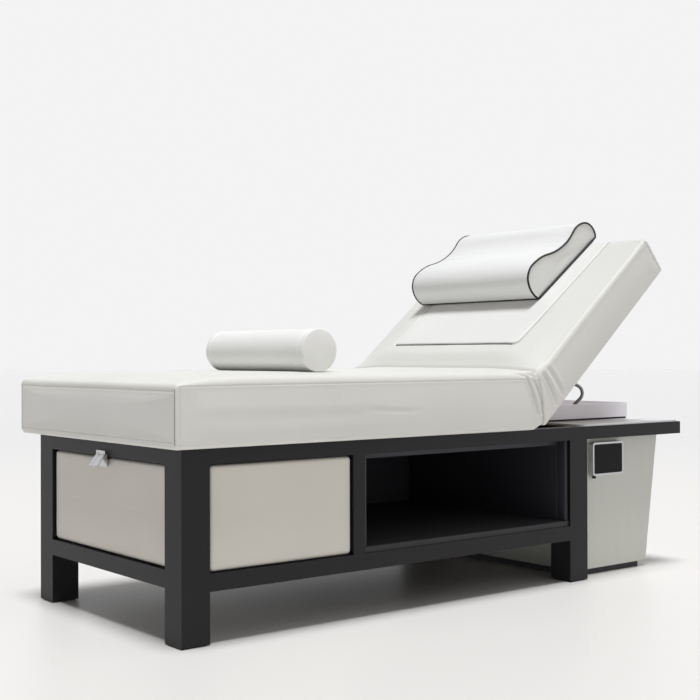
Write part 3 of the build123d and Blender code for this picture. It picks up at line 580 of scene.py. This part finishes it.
def section(bottom, top, lean, *, crown, shoulder, half=HALF, inset_low=0.0, inset_top=0.0, bow=3.0,
            low_radius=12.0, width=SEAT_WIDTH, drop=SEAT_DROP, valley=0.0, pinch=0.0, seam=1.0):
    """One ring across the bed.

    bottom and top are (station, z) of the side's lower and upper edge. lean turns the direction in
    which the crown rises. valley lowers the top face, pinch draws the lower edge in, bow swells the
    side and seam says how deep the sewn edge is.
    """
    height = math.dist(bottom, top)
    along = ((top[0] - bottom[0]) / height, (top[1] - bottom[1]) / height)
    up = (-math.sin(lean), math.cos(lean))
    right = half_outline(half, inset_low, height - inset_top, low_radius, bow, crown, shoulder, width, drop,
                         seam)
    left = [(-y, h, rise) for y, h, rise in reversed(right[1:-1])]
    ring = []
    for y, h, rise in right + left:
        y -= math.copysign(pinch * (1 - h / height) * min(1.0, abs(y) / HALF), y)
        rise -= valley * min(1.0, rise / 12.0)
        x = bottom[0] + along[0] * h + up[0] * rise
        z = bottom[1] + along[1] * h + up[1] * rise
        ring.append((x, y, z))
    return ring


def grown(station, reach):
    """Share of its full height that the seat's top face has, rising from the foot end."""
    return 1 - math.exp(-(station + 44) / reach)


def seat_crown(station):
    return 27.0 * grown(station, 95)


def seat_shoulder(station):
    return 19.5 * grown(station, 60)


def seat_heel(station):
    """The seat's lower edge turns up in a short slant before the crease."""
    return SEAT_BOTTOM + 15.0 * smooth((station - 1174) / 44) ** 0.9


def back_crown(station):
    """The back's top face falls straight towards the tip."""
    return 26.8 - 0.0594 * (station - 1645)


def back_shoulder(station):
    return 9.0 - 4.0 * smooth((station - 1500) / 450)


def back_heel(station):
    if station >= HEEL_STATION:
        return BACK_BOTTOM
    inner = HEEL_RADIUS ** 2 - (HEEL_STATION - station) ** 2
    return BACK_BOTTOM + (HEEL_RADIUS - math.sqrt(max(0.0, inner)))


def back_top(station, y):
    """Height of the flat backrest's top face."""
    return TOP_EDGE + top_height(HALF - abs(y), HALF, back_crown(station), back_shoulder(station),
                                 BACK_WIDTH, BACK_DROP)


def seat_section(bottom, top, lean, **extra):
    facts = {"shoulder": seat_shoulder(top[0]), "crown": seat_crown(top[0]) / math.cos(lean), "seam": 0.6,
             **extra}
    return section(bottom, top, lean, **facts)


def back_section(bottom, top, lean, **extra):
    """bottom and top are (station, z) of the side with the back flat."""
    facts = {"shoulder": back_shoulder(top[0]), "crown": back_crown(top[0]), "seam": 0.35,
             "width": BACK_WIDTH, "drop": BACK_DROP, **extra}
    return section(flat_to_rest(*bottom), flat_to_rest(*top), lean, **facts)


def seat_ring(x, **extra):
    return seat_section((x, SEAT_BOTTOM), (x, TOP_EDGE), 0, **extra)


def back_ring(x, **extra):
    return back_section((x, BACK_BOTTOM), (x, TOP_EDGE), BACK, **extra)


def shrunk(ring, centre, share, out):
    """A ring drawn in towards its centre and moved out along the bed."""
    cx, cz = centre
    return [(cx + (x - cx) * share + out[0], y * share, cz + (z - cz) * share + out[1]) for x, y, z in ring]


def foot_face(inset, sunk):
    return seat_ring(FOOT_FACE + sunk, half=HALF - FOOT_SIDE_INSET - inset, inset_low=FOOT_LOW_INSET + inset,
                     inset_top=FOOT_TOP_INSET + inset, crown=0.5, shoulder=0.5, width=6, drop=4,
                     low_radius=8, bow=0, seam=0)


def foot_rings():
    """Slightly domed foot face, its sewn edge, the round over and the seam round the bed."""
    middle = (FOOT_FACE, (SEAT_BOTTOM + TOP_EDGE) / 2)
    rings = []
    for share in (0.12, 0.3, 0.5, 0.7, 0.86):
        rings.append(shrunk(foot_face(12, 0), middle, share, (-FOOT_DOME * (1 - share ** 4), 0)))
    rings += [foot_face(inset, sunk) for inset, sunk in FOOT_SEAM]
    for step in range(TURN_STEPS + 1):
        a = math.radians(90 * step / TURN_STEPS)
        x = FOOT_FACE + FOOT_TURN * (1 - math.cos(a))
        face = 1 - math.sin(a)
        side = 1 - face
        rings.append(seat_ring(x, half=HALF - FOOT_SIDE_INSET * face, inset_low=FOOT_LOW_INSET * face,
                               inset_top=FOOT_TOP_INSET * face, crown=seat_crown(x) * side + 0.5,
                               shoulder=seat_shoulder(x) * side + 0.5, width=6 + 14 * side, drop=4 - side,
                               bow=0, seam=0))
    rings += [seat_ring(x, half=HALF - groove, bow=0.6, seam=0.3) for x, groove in FOOT_GROOVE]
    return rings


def seat_rings():
    stations = list(range(-16, 60, 9)) + list(range(60, 1090, 24))
    return [seat_ring(x, bow=3 * smooth((x + 25) / 60)) for x in stations]


def near_crease(crown, shoulder, width, drop, share):
    """Facts of a top face that goes over into the crease's by a share."""
    return {"crown": blended(crown, CREASE_CROWN, share),
            "shoulder": blended(shoulder, CREASE_SHOULDER, share),
            "width": blended(width, CREASE_WIDTH, share), "drop": blended(drop, CREASE_DROP, share)}


def crease_dip(share):
    """How far the top face dips right beside the crease."""
    return 5.0 * smooth((share - 0.9) / 0.1)


def crease_rings():
    """The rings lean over, first in the seat and then in the back, through one valley between them."""
    rings = []
    for k in range(CREASE_STEPS):
        u = k / (CREASE_STEPS - 1)
        low_x = blended(SEAT_STRAIGHT_END, SEAT_CREASE_LOW, u)
        top_x = blended(SEAT_STRAIGHT_END, VALLEY_X - 2.5, u)
        facts = near_crease(seat_crown(top_x), seat_shoulder(top_x), SEAT_WIDTH, SEAT_DROP, smooth(u))
        rings.append(seat_section((low_x, seat_heel(low_x)), (top_x, TOP_EDGE), BACK / 2 * u,
                                  valley=crease_dip(u), **facts))
    rings.append(seat_section((1217.0, 520.0), (VALLEY_X, TOP_EDGE - 3), BACK / 2, valley=9, pinch=18,
                              crown=CREASE_CROWN, shoulder=CREASE_SHOULDER, width=CREASE_WIDTH,
                              drop=CREASE_DROP))
    for k in range(CREASE_STEPS):
        u = 1 - k / (CREASE_STEPS - 1)
        low_x = blended(BACK_STRAIGHT_START, BACK_CREASE_LOW, u)
        top_x = blended(BACK_STRAIGHT_START, BACK_CREASE_TOP, u)
        share = smooth((u - 0.3) / 0.7)
        facts = near_crease(back_crown(top_x), back_shoulder(top_x), BACK_WIDTH, BACK_DROP, share)
        rings.append(back_section((low_x, back_heel(low_x)), (top_x, TOP_EDGE), BACK - BACK / 2 * u,
                                  valley=crease_dip(u), **facts))
    return rings


def back_rings():
    return [back_ring(x) for x in range(1432, 1960, 18)]


def tip_rings():
    """Seam round the back, the round over at its end and the slightly domed tip face."""
    rings = [back_ring(x, half=HALF - groove, bow=1, seam=0.3) for x, groove in TIP_GROOVE]
    for step in range(TURN_STEPS + 1):
        face = 1 - math.cos(math.radians(90 * step / TURN_STEPS))
        x = TIP - TIP_TURN * (1 - face)
        rings.append(back_ring(x, half=HALF - TIP_SIDE_INSET * face, inset_low=TIP_LOW_INSET * face,
                               inset_top=TIP_TOP_INSET * face, crown=back_crown(x) * (1 - 0.7 * face),
                               shoulder=4 * (1 - face) + 0.5, bow=0, seam=0))
    flat = rings[-1]
    middle = (BACK_BOTTOM + TOP_EDGE) / 2
    centre = flat_to_rest(TIP, middle)
    for share in (0.96, 0.86, 0.7, 0.5, 0.3, 0.12):
        out = flat_to_rest(TIP + TIP_DOME * (1 - share ** 4), middle)
        rings.append(shrunk(flat, centre, share, (out[0] - centre[0], out[1] - centre[1])))
    return rings


# Folds in the cover's sides

# Eight gathers at the crease and two long sags: three points in (station, z), width and depth
SIDE_FOLDS = (
    ((1143, 634), (1166, 590), (1189, 528), 4.4, 8.0),
    ((1170, 634), (1193, 588), (1205, 532), 4.0, 7.0),
    ((1192, 640), (1206, 575), (1213, 500), 3.8, 6.5),
    ((1216, 648), (1240, 612), (1268, 558), 5.6, 7.0),
    ((1240, 662), (1266, 630), (1300, 585), 7.0, 4.6),
    ((1096, 662), (1138, 653), (1180, 637), 3.6, 5.0),
    ((1140, 672), (1163, 664), (1184, 650), 3.6, 5.0),
    ((1112, 648), (1126, 644), (1142, 640), 3.0, 2.4),
    ((30, 556), (330, 549), (690, 556), 15.0, 1.1),
    ((560, 562), (640, 556), (700, 553), 6.0, 1.6),
)
FOLD_LIMITS = (-3.5, 11.0)

# Dent under the bolster: depth, reach to each side of its axis and past its ends, and the fade there
DENT_DEPTH, DENT_REACH, DENT_PAST, DENT_FADE = 2.5, 62, 34, 60

# Unevenness of the cover: how close its waves lie, and their height on the sides and on top
WAVE_SCALE, SIDE_WAVE, TOP_WAVE = 0.009, 1.2, 0.8


def curve_points(a, b, c, count=24):
    """Points of the curve through three points."""
    out = []
    for k in range(count + 1):
        t = k / count
        out.append([2 * (t - 0.5) * (t - 1) * a[i] + 4 * t * (1 - t) * b[i] + 2 * t * (t - 0.5) * c[i]
                    for i in (0, 1)])
    return np.array(out)


def fold_depth(points, fold):
    """Depth that a fold gives each point: a crease with a low ridge along it, tapered at both ends."""
    *through, width, depth = fold
    line = curve_points(*through)
    nearest = np.full(len(points), 1e9)
    where = np.zeros(len(points))
    for i, q in enumerate(line):
        distance = np.hypot(points[:, 0] - q[0], points[:, 1] - q[1])
        closer = distance < nearest
        nearest[closer] = distance[closer]
        where[closer] = i / (len(line) - 1)
    taper = np.sin(np.pi * np.clip(0.12 + 0.8 * where, 0, 1)) ** 0.7
    crease = np.exp(-(nearest / width) ** 2)
    ridge = np.exp(-((nearest - width * 1.9) / (width * 0.9)) ** 2)
    return depth * taper * (crease - 0.45 * ridge)


def fade_in(values, start, width):
    """0 up to start, 1 beyond start + width and a straight rise between."""
    return np.clip((values - start) / width, 0, 1)


def press_folds(points):
    """Pushes the folds into the side faces and, on the seat, into the rounded edge above them."""
    station, y, z = points.T.copy()
    on_side = fade_in(np.abs(y), 396, 34)
    on_edge = fade_in(z, TOP_EDGE + 1, 12) * (station < 1200)
    depth = sum(fold_depth(points[:, (0, 2)], fold) for fold in SIDE_FOLDS)
    depth = np.clip(depth, *FOLD_LIMITS) * on_side
    points[:, 1] -= np.sign(y) * depth * (1 - 0.5 * on_edge)
    points[:, 2] -= depth * on_edge * 0.9
    return points


def press_bolster(points):
    """The seat gives a little under the bolster."""
    station, y, z = points.T.copy()
    across = np.clip(1 - np.abs(station - BOLSTER_X) / DENT_REACH, 0, 1)
    along = np.clip((BOLSTER_LENGTH / 2 + DENT_PAST - np.abs(y - BOLSTER_Y)) / DENT_FADE, 0, 1)
    share = across * across * (3 - 2 * across) * along * along * (3 - 2 * along)
    points[:, 2] -= DENT_DEPTH * share * fade_in(z, TOP_EDGE + 5, 12)
    return points


def make_uneven(points):
    """Slow unevenness of stuffed leather, on the sides and over the top."""
    for i, p in enumerate(points):
        n = noise.noise(Vector(p) * WAVE_SCALE)
        on_side = min(1.0, abs(p[1]) / HALF) ** 6
        points[i, 1] += math.copysign(on_side * SIDE_WAVE * n, p[1])
        if p[2] > 600 and abs(p[1]) < 430:
            points[i, 2] += TOP_WAVE * n
    return points


def head_cutter():
    """Prism that cuts the opening for the head insert."""
    loop = rounded_rectangle(CUT_START, TIP + 40, CUT_HALF, (20, 20, 1, 1))
    return skin("head_cutter", [[raised(x, y, z) for x, y in loop] for z in (490, 560, 640, 700)])


def make_upholstery():
    rings = foot_rings() + seat_rings() + crease_rings() + back_rings() + tip_rings()
    n = len(rings[0])
    points = np.array([p for ring in rings for p in ring])
    points = press_bolster(make_uneven(press_folds(points)))
    obj = skin("bed_upholstery", [[at(*p) for p in points[i:i + n]] for i in range(0, len(points), n)])
    cutter = head_cutter()
    cut = obj.modifiers.new("cut", "BOOLEAN")
    cut.operation = "DIFFERENCE"
    cut.solver = "EXACT"
    cut.object = cutter
    apply_modifiers(obj)
    bpy.data.objects.remove(cutter)
    return obj


def make_corner_seam_shadows():
    """Painted shadow of the cover's closing seam: a thin dark cord upright just inside each foot corner, for
    the shade in the seam's groove.
    """
    seams = [cord("seam", [at(-40.1, side * 438.6, z) for z in (494, 560, 626)], 0.0008) for side in (-1, 1)]
    return join("corner_seam_shadows", seams)


def blend_at_crease(obj):
    """Bakes the cover's placement into its mesh."""
    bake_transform(obj)


upholstery = make_upholstery()
finish_piece(upholstery, "leather_white", None, ("seat_cushion", "back_cushion"))
finish_piece(make_corner_seam_shadows(), "gap_shadow", "frame")
blend_at_crease(upholstery)


# Head insert

INSERT_BASE, INSERT_EDGE = 624.3, 6.0

# How far the insert stands proud: what its lower edge adds, what is left elsewhere, and the way between
LIP_LOW, LIP_REST, LIP_LENGTH = 3.4, 0.4, 170


def make_insert():
    """Pad that fills the cut-out and stands a little proud of it at its lower edge."""
    x0, x1 = CUT_START + 4.5, TIP - 1
    half = CUT_HALF - 1.6

    def loop(inset):
        radii = [max(1.0, r - inset) for r in (19, 19, 8, 8)]
        return densify(rounded_rectangle(x0 + inset, x1 - inset, half - inset, radii, 8), 260)

    def flat_ring(inset, z):
        return [raised(x, y, z) for x, y in loop(inset)]

    def top_ring(inset, below):
        ring = []
        for x, y in loop(inset):
            lip = LIP_REST + LIP_LOW * (1 - smooth((x - CUT_START - 10) / LIP_LENGTH))
            ring.append(raised(x, y, back_top(x, y) + lip - below))
        return ring

    rings = [flat_ring(inset, INSERT_BASE + rise) for inset, rise in ((60, 0), (8, 0), (1.5, 0.8), (0, 3))]
    for k in range(8):
        a = math.radians(90 * k / 7)
        rings.append(top_ring(INSERT_EDGE * (1 - math.cos(a)), INSERT_EDGE * (1 - math.sin(a))))
    for inset in (15, 22, 34, 50, 75, 105, 140, 180, 215, 240, 262, 278):
        rings.append(top_ring(inset, 0))
    return skin("insert_upholstery", rings)


def make_insert_gap_shadow():
    """Painted shadow: a dark cord laid in the gap at the insert's lower edge, where there is only shade."""
    points = []
    for y in np.linspace(-CUT_HALF + 17, CUT_HALF - 17, 60):
        station = CUT_START + 2.6 + 0.8 * math.sin(y / 31)
        points.append(raised(station, y, back_top(CUT_START, y) - 0.6 + 0.5 * math.sin(y / 47)))
    return cord("insert_gap_shadow", points, 0.0021)


insert = make_insert()
finish_piece(make_insert_gap_shadow(), "gap_shadow", "head_insert")
finish_piece(insert, "leather_insert", "head_insert", ("insert_pad",))


# Wave pillow

PILLOW_BASE, PILLOW_HEIGHT, PILLOW_WIDTH = 336.0, 106.0, 566.0
PILLOW_START, PILLOW_Y, PILLOW_LIFT = 1662.0, 64.0, TOP_EDGE + 25.8
PILLOW_TILT = math.radians(3.4)

# The point that the pillow's section shrinks towards at its ends
PILLOW_CENTRE = (PILLOW_BASE * 0.45, PILLOW_HEIGHT * 0.42)

# Arcs of the wave from the base's front corner on: middle and end in shares of base and height
PILLOW_ARCS = (
    ((-0.044, 0.46), (-0.017, 0.76)),
    ((0.045, 0.935), (0.137, 1.0)),
    ((0.240, 0.975), (0.348, 0.882)),
    ((0.490, 0.725), (0.645, 0.670)),
    ((0.725, 0.695), (0.790, 0.745)),
    ((0.895, 0.785), (0.990, 0.690)),
    ((1.055, 0.440), (1.055, 0.115)),
    ((1.036, 0.030), (1.0, 0.0)),
)

# Flat end panel: how far in from the end a row lies, and its share of the section
PILLOW_END = (
    (4.5, 0.06), (3.0, 0.25), (2.2, 0.45), (2.6, 0.65), (3.4, 0.82), (3.4, 0.93), (2.2, 0.975), (1.2, 0.99),
)
PILLOW_SEWN = (0.975, 0.99)

# Swelling between the pipings: its height, and how far from the ends it is full
SWELL, SWELL_REACH = 1.6, 40
HELD_HEIGHT = 2.5


def arc(a, b, c, steps):
    """Points after a of the circular arc a, b, c."""
    (x1, y1), (x2, y2), (x3, y3) = a, b, c
    d = 2 * (x1 * (y2 - y3) + x2 * (y3 - y1) + x3 * (y1 - y2))
    if abs(d) < 1e-6:
        return [(x1 + (x3 - x1) * k / steps, y1 + (y3 - y1) * k / steps) for k in range(1, steps + 1)]
    s1, s2, s3 = x1 ** 2 + y1 ** 2, x2 ** 2 + y2 ** 2, x3 ** 2 + y3 ** 2
    ux = (s1 * (y2 - y3) + s2 * (y3 - y1) + s3 * (y1 - y2)) / d
    uy = (s1 * (x3 - x2) + s2 * (x1 - x3) + s3 * (x2 - x1)) / d
    r = math.hypot(x1 - ux, y1 - uy)
    a0, a1, a2 = (math.atan2(y - uy, x - ux) for x, y in (a, b, c))
    turn = (a2 - a0) % (2 * math.pi)
    if (a1 - a0) % (2 * math.pi) > turn:
        turn -= 2 * math.pi
    angles = [a0 + turn * k / steps for k in range(1, steps + 1)]
    return [(ux + r * math.cos(angle), uy + r * math.sin(angle)) for angle in angles]


def pillow_profile(count):
    spot = (0.0, 0.0)
    points = [spot]
    for middle, end in PILLOW_ARCS:
        m = (middle[0] * PILLOW_BASE, middle[1] * PILLOW_HEIGHT)
        e = (end[0] * PILLOW_BASE, end[1] * PILLOW_HEIGHT)
        points += arc(spot, m, e, 12)
        spot = e
    return densify(points, count)


def pillow_point(x, y, z):
    """A point of the pillow, given along its base, across it and over it."""
    c, s = math.cos(PILLOW_TILT), math.sin(PILLOW_TILT)
    return raised(PILLOW_START + x * c + z * s, PILLOW_Y + y, PILLOW_LIFT - x * s + z * c)


def mirrored_spans(half, end, middle):
    """Rows across a cushion as (y, share): one end's, the middle's, and the other end's."""
    near = [(-half + inset, share) for inset, share in end]
    far = [(half - inset, share) for inset, share in reversed(end)]
    return near + middle + far


def make_pillow():
    """Wave section carried across, flat sewn end panels, a swelling body between the pipings."""
    profile = pillow_profile(160)
    cx, cz = PILLOW_CENTRE
    half = PILLOW_WIDTH / 2
    body = np.concatenate([[-half + 2.0, -half + 5.0, -half + 9.0], np.linspace(-half + 15, half - 15, 76),
                           [half - 9.0, half - 5.0, half - 2.0]])
    rings, held = [], []
    for number, (y, k) in enumerate(mirrored_spans(half, PILLOW_END, [(y, 1.0) for y in body])):
        sewn = k in PILLOW_SEWN or abs(abs(y) - half + 2.0) < 0.1
        ring = []
        for j, (x, z) in enumerate(profile):
            dx, dz = x - cx, z - cz
            length = math.hypot(dx, dz)
            share = min(1.0, (half - abs(y)) / SWELL_REACH)
            up = smooth(z / 30) * SWELL * math.sqrt(max(0.0, share)) if k == 1.0 and share > 0.08 else 0
            ring.append(pillow_point(cx + dx * k + dx / length * up, y,
                                     max(cz + dz * k + dz / length * up, 0.0)))
            if sewn or z < HELD_HEIGHT:
                held.append(number * len(profile) + j)
        rings.append(ring)
    cushion = skin("pillow_cushion", rings)
    inflate(cushion, held, 0.0045)
    return cushion


def make_pillow_piping_and_shadow():
    """Piping round both ends, along the front of the base and along its near side. The thick cords along the
    base stand partly for piping and partly for painted contact shadow under it.
    """
    profile = pillow_profile(170)
    cx, cz = PILLOW_CENTRE
    half = PILLOW_WIDTH / 2
    parts = []
    for y, radius in ((-half + 1.6, 0.0034), (half - 1.6, 0.0024)):
        loop = [pillow_point(cx + (x - cx) * 1.004, y, max(cz + (z - cz) * 1.006, 2.8)) for x, z in profile]
        parts.append(cord("piping", loop, radius, closed=True))
    # The base cords are thicker than the end piping: their dark is partly piping, partly painted contact
    # shadow under the base.
    front = [pillow_point(-2.0, y, 3.2) for y in np.linspace(-half + 2, half - 2, 30)]
    parts.append(cord("piping", front, 0.0036))
    near = [pillow_point(x, -half + 0.6, 3.0) for x in np.linspace(-1.0, PILLOW_BASE - 4, 24)]
    parts.append(cord("piping", near, 0.0042))
    return join("pillow_piping", parts)


finish_piece(make_pillow(), "leather_pillow", "pillow", ("pillow",))
finish_piece(make_pillow_piping_and_shadow(), "piping", "pillow")


# Bolster

BOLSTER_SIDES = 108
BOLSTER_SEAM = 0.928

# Where the bolster lies it is pressed flat below a share of its radius, to a part of what was there
FLAT_BELOW, FLAT_PART = 0.965, 0.25
BOLSTER_SINK = 1.6

# Rows of one end: how far in a row lies, and its share of the radius
BOLSTER_SPANS = (
    (-1.6, 0.05), (-1.4, 0.2), (-1.0, 0.4), (-0.6, 0.6), (-0.2, 0.76), (0.2, 0.88), (0.9, 0.945),
    (1.8, 0.978), (3.4, 0.993), (5.5, 0.998), (9.0, 0.998), (13.0, 0.99), (17.0, 0.98), (20.3, 0.962),
    (22.5, BOLSTER_SEAM), (24.7, 0.962), (30.0, 0.982), (36.0, 0.991), (42.0, 0.997),
)


def make_bolster():
    """Cloth tube with two flat end discs and a drawn-in seam near each, flattened where it lies."""
    half = BOLSTER_LENGTH / 2
    r = BOLSTER_RADIUS
    low = -FLAT_BELOW * r
    body = [(y, 0.999) for y in np.linspace(-half + 50, half - 50, 46)]
    rings, held = [], []
    for number, (y, k) in enumerate(mirrored_spans(half, BOLSTER_SPANS, body)):
        sewn = 0.97 < k < 0.994 and abs(abs(y) - half) < 4 or k == BOLSTER_SEAM
        ring = []
        for j in range(BOLSTER_SIDES):
            a = 2 * math.pi * j / BOLSTER_SIDES
            px, pz = math.cos(a) * r * k, math.sin(a) * r * k
            if sewn or pz < low:
                held.append(number * BOLSTER_SIDES + j)
            if pz < low:
                pz = low + (pz - low) * FLAT_PART
            ring.append(at(BOLSTER_X + px, BOLSTER_Y + y, BOLSTER_Z + pz - BOLSTER_SINK))
        rings.append(ring)
    cushion = skin("bolster_cushion", rings)
    inflate(cushion, held, 0.003)
    return cushion


finish_piece(make_bolster(), "leather_bolster_painted_light", "bolster", ("bolster",))


# Padded panels in the frame and on the drawer

PANEL_EDGE, PANEL_CORNER = 10.0, 10.0
UP = Vector((0, 0, 1))


def puffed_panel(name, middle, across, out, width, height, thickness, crown):
    """Padded panel lying against a board: middle is the centre of its board side."""
    rings = []

    def ring(inset, depth, puff):
        radii = [max(1.0, PANEL_CORNER - inset)] * 4
        loop = rounded_rectangle(-width / 2 + inset, width / 2 - inset, height / 2 - inset, radii)
        points = []
        for u, v in densify(loop, 168):
            share = (1 - (2 * u / width) ** 4) * (1 - (2 * v / height) ** 4)
            points.append(middle + across * u + UP * v + out * (depth + puff * max(0.0, share)))
        rings.append([at(*p) for p in points])

    for inset, depth in ((40, 0), (5, 0), (1.0, 0.8), (0.0, 2.5)):
        ring(inset, depth, 0)
    for k in range(7):
        a = math.radians(90 * k / 6)
        ring(PANEL_EDGE * (1 - math.cos(a)), thickness - (thickness - 3.0) * (1 - math.sin(a)), crown)
    short = min(width, height) / 2
    for share in np.linspace(0.08, 0.97, 15):
        ring(PANEL_EDGE + (short - PANEL_EDGE) * share, thickness, crown)
    return skin(name, rings)


def make_side_pads():
    low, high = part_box("side_panel_pads")
    x0, x1 = station_of(low.x), station_of(high.x)
    pads = []
    for side in (-1, 1):
        middle = Vector(((x0 + x1) / 2, side * 382.0, (mm(low.z) + mm(high.z)) / 2))
        pads.append(puffed_panel("pad", middle, across=Vector((1, 0, 0)), out=Vector((0, side, 0)),
                                 width=x1 - x0, height=mm(high.z - low.z), thickness=11.5, crown=2.6))
    return join("side_panel_upholstery", pads)


def make_drawer_pad():
    low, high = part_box("drawer_front_pad")
    middle = Vector((21.0, 0.0, (mm(low.z) + mm(high.z)) / 2))
    return puffed_panel("drawer_upholstery", middle, across=Vector((0, -1, 0)), out=Vector((-1, 0, 0)),
                        width=mm(high.y - low.y), height=mm(high.z - low.z), thickness=13.0, crown=4.0)


finish_piece(make_side_pads(), "leather_panel", "frame", ("side_panel_pads",))
finish_piece(make_drawer_pad(), "leather_panel", "drawer", ("drawer_front_pad",))


# Lining of the shelf bay, in metres

LINING_DEPTH = 0.012
LINING_BEVEL = 0.0012


def bevelled_box(name, low, high, edge):
    """Board between two corners with its edges eased."""
    bm = bmesh.new()
    bmesh.ops.create_cube(bm, size=1.0)
    middle, size = (low + high) / 2, high - low
    for vert in bm.verts:
        vert.co = Vector(m + v * s for m, v, s in zip(middle, vert.co, size))
    bmesh.ops.bevel(bm, geom=bm.edges[:], offset=edge, segments=2, profile=0.5, affect="EDGES")
    mesh = bpy.data.meshes.new(name)
    bm.to_mesh(mesh)
    bm.free()
    return link_object(name, mesh)


def make_bay_lining():
    """Thin boards that carry the bay's end walls out to the legs and posts, on both sides."""
    wall_low, wall_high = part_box("carcass_sides")
    shelf_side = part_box("shelf_board")[1].y
    rail_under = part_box("carcass_top")[1].z
    strips = []
    for side in (-1, 1):
        y0, y1 = sorted((side * (wall_high.y + 0.0004), side * (shelf_side - 0.004)))
        for x0, x1 in ((wall_low.x, wall_low.x + LINING_DEPTH), (wall_high.x - LINING_DEPTH, wall_high.x)):
            low = Vector((x0 + 0.0003, y0, wall_low.z + 0.0004))
            high = Vector((x1 - 0.0003, y1, rail_under - 0.0004))
            strips.append(bevelled_box("strip", low, high, LINING_BEVEL))
    return join("bay_lining", strips)


finish_piece(make_bay_lining(), "board_black", "frame")


# Camera, fitted to the photo

CAMERA_SPOT = (-2.4296, -2.9278, 0.7032)
CAMERA_YAW, CAMERA_RISE, CAMERA_ROLL = math.radians(38.31), math.radians(0.28), math.radians(-0.15)


def set_camera():
    flat = math.cos(CAMERA_RISE)
    look = Vector((math.sin(CAMERA_YAW) * flat, math.cos(CAMERA_YAW) * flat, math.sin(CAMERA_RISE)))
    right = look.cross(UP).normalized()
    up = right.cross(look)
    c, s = math.cos(CAMERA_ROLL), math.sin(CAMERA_ROLL)
    data = bpy.data.cameras.new("camera")
    data.sensor_width = 36.0
    data.lens = 62.43
    data.clip_end = 60.0
    cam = link_object("camera", data)
    basis = Matrix((right * c + up * s, up * c - right * s, -look)).transposed().to_4x4()
    basis.translation = Vector(CAMERA_SPOT)
    cam.matrix_world = basis
    scene.camera = cam


# Floor, lamps and world

FLOOR_HALF = 60.0
FLOOR_NEAR, FLOOR_FAR = (229, 226, 223), (218, 217, 216)
BACKDROP = (243, 243, 244)
AMBIENT_STRENGTH = 0.12

# Suns: where the light comes from, its width in degrees, strength and colour
SUNS = {
    "key": ((-0.08, -0.10, 0.93), 16, 3.02, (0.965, 0.98, 1.0)),
    "foot_side": ((-0.42, -0.12, 0.62), 60, 0.08, (1.0, 0.99, 0.97)),
    "fill": ((0.5, -0.75, 0.45), 90, 0.53, (1.0, 0.965, 0.91)),
}


def set_floor():
    """Pale floor whose tone changes slowly with the distance from the bed."""
    mesh = bpy.data.meshes.new("floor")
    corners = [(x * FLOOR_HALF, y * FLOOR_HALF, 0) for x, y in ((-1, -1), (1, -1), (1, 1), (-1, 1))]
    mesh.from_pydata(corners, [], [(0, 1, 2, 3)])
    floor = link_object("floor", mesh)
    mat, tree, shader = material("floor")
    tex = tree.nodes.new("ShaderNodeTexCoord")
    reach = tree.nodes.new("ShaderNodeVectorMath")
    reach.operation = "LENGTH"
    tree.links.new(tex.outputs["Object"], reach.inputs[0])
    far = spread(tree, reach.outputs["Value"], (1.6, 7.0))
    tree.links.new(two_tone(tree, far, linear(*FLOOR_NEAR), linear(*FLOOR_FAR)), shader.inputs["Base Color"])
    set_inputs(shader, Roughness=0.42, Specular_IOR_Level=0.35)
    mesh.materials.append(mat)


def set_sun(name, direction, width, strength, color):
    data = bpy.data.lights.new(name, "SUN")
    data.color = color
    data.angle = math.radians(width)
    data.energy = strength
    lamp = link_object(name, data)
    lamp.rotation_euler = (-Vector(direction)).to_track_quat("-Z", "Y").to_euler()


def background(tree, color, strength):
    n = tree.nodes.new("ShaderNodeBackground")
    set_inputs(n, Color=(*color, 1), Strength=strength)
    return n.outputs[0]


def set_world():
    """Dim white light all round, and a pale backdrop where a ray sees or mirrors the world."""
    world = bpy.data.worlds.new("world")
    scene.world = world
    world.use_nodes = True
    tree = world.node_tree
    tree.nodes.clear()
    out = tree.nodes.new("ShaderNodeOutputWorld")
    path = tree.nodes.new("ShaderNodeLightPath")
    seen = path.outputs["Is Camera Ray"]
    for kind in ("Is Glossy Ray", "Is Transmission Ray"):
        either = tree.nodes.new("ShaderNodeMath")
        either.operation = "MAXIMUM"
        tree.links.new(seen, either.inputs[0])
        tree.links.new(path.outputs[kind], either.inputs[1])
        seen = either.outputs[0]
    mix = tree.nodes.new("ShaderNodeMixShader")
    tree.links.new(seen, mix.inputs[0])
    tree.links.new(background(tree, (1.0, 1.0, 1.0), AMBIENT_STRENGTH), mix.inputs[1])
    tree.links.new(background(tree, linear(*BACKDROP), 1.0), mix.inputs[2])
    tree.links.new(mix.outputs[0], out.inputs[0])


set_camera()
set_floor()
set_world()
for name, facts in SUNS.items():
    set_sun(name, *facts)
scene.view_settings.view_transform = "Standard"
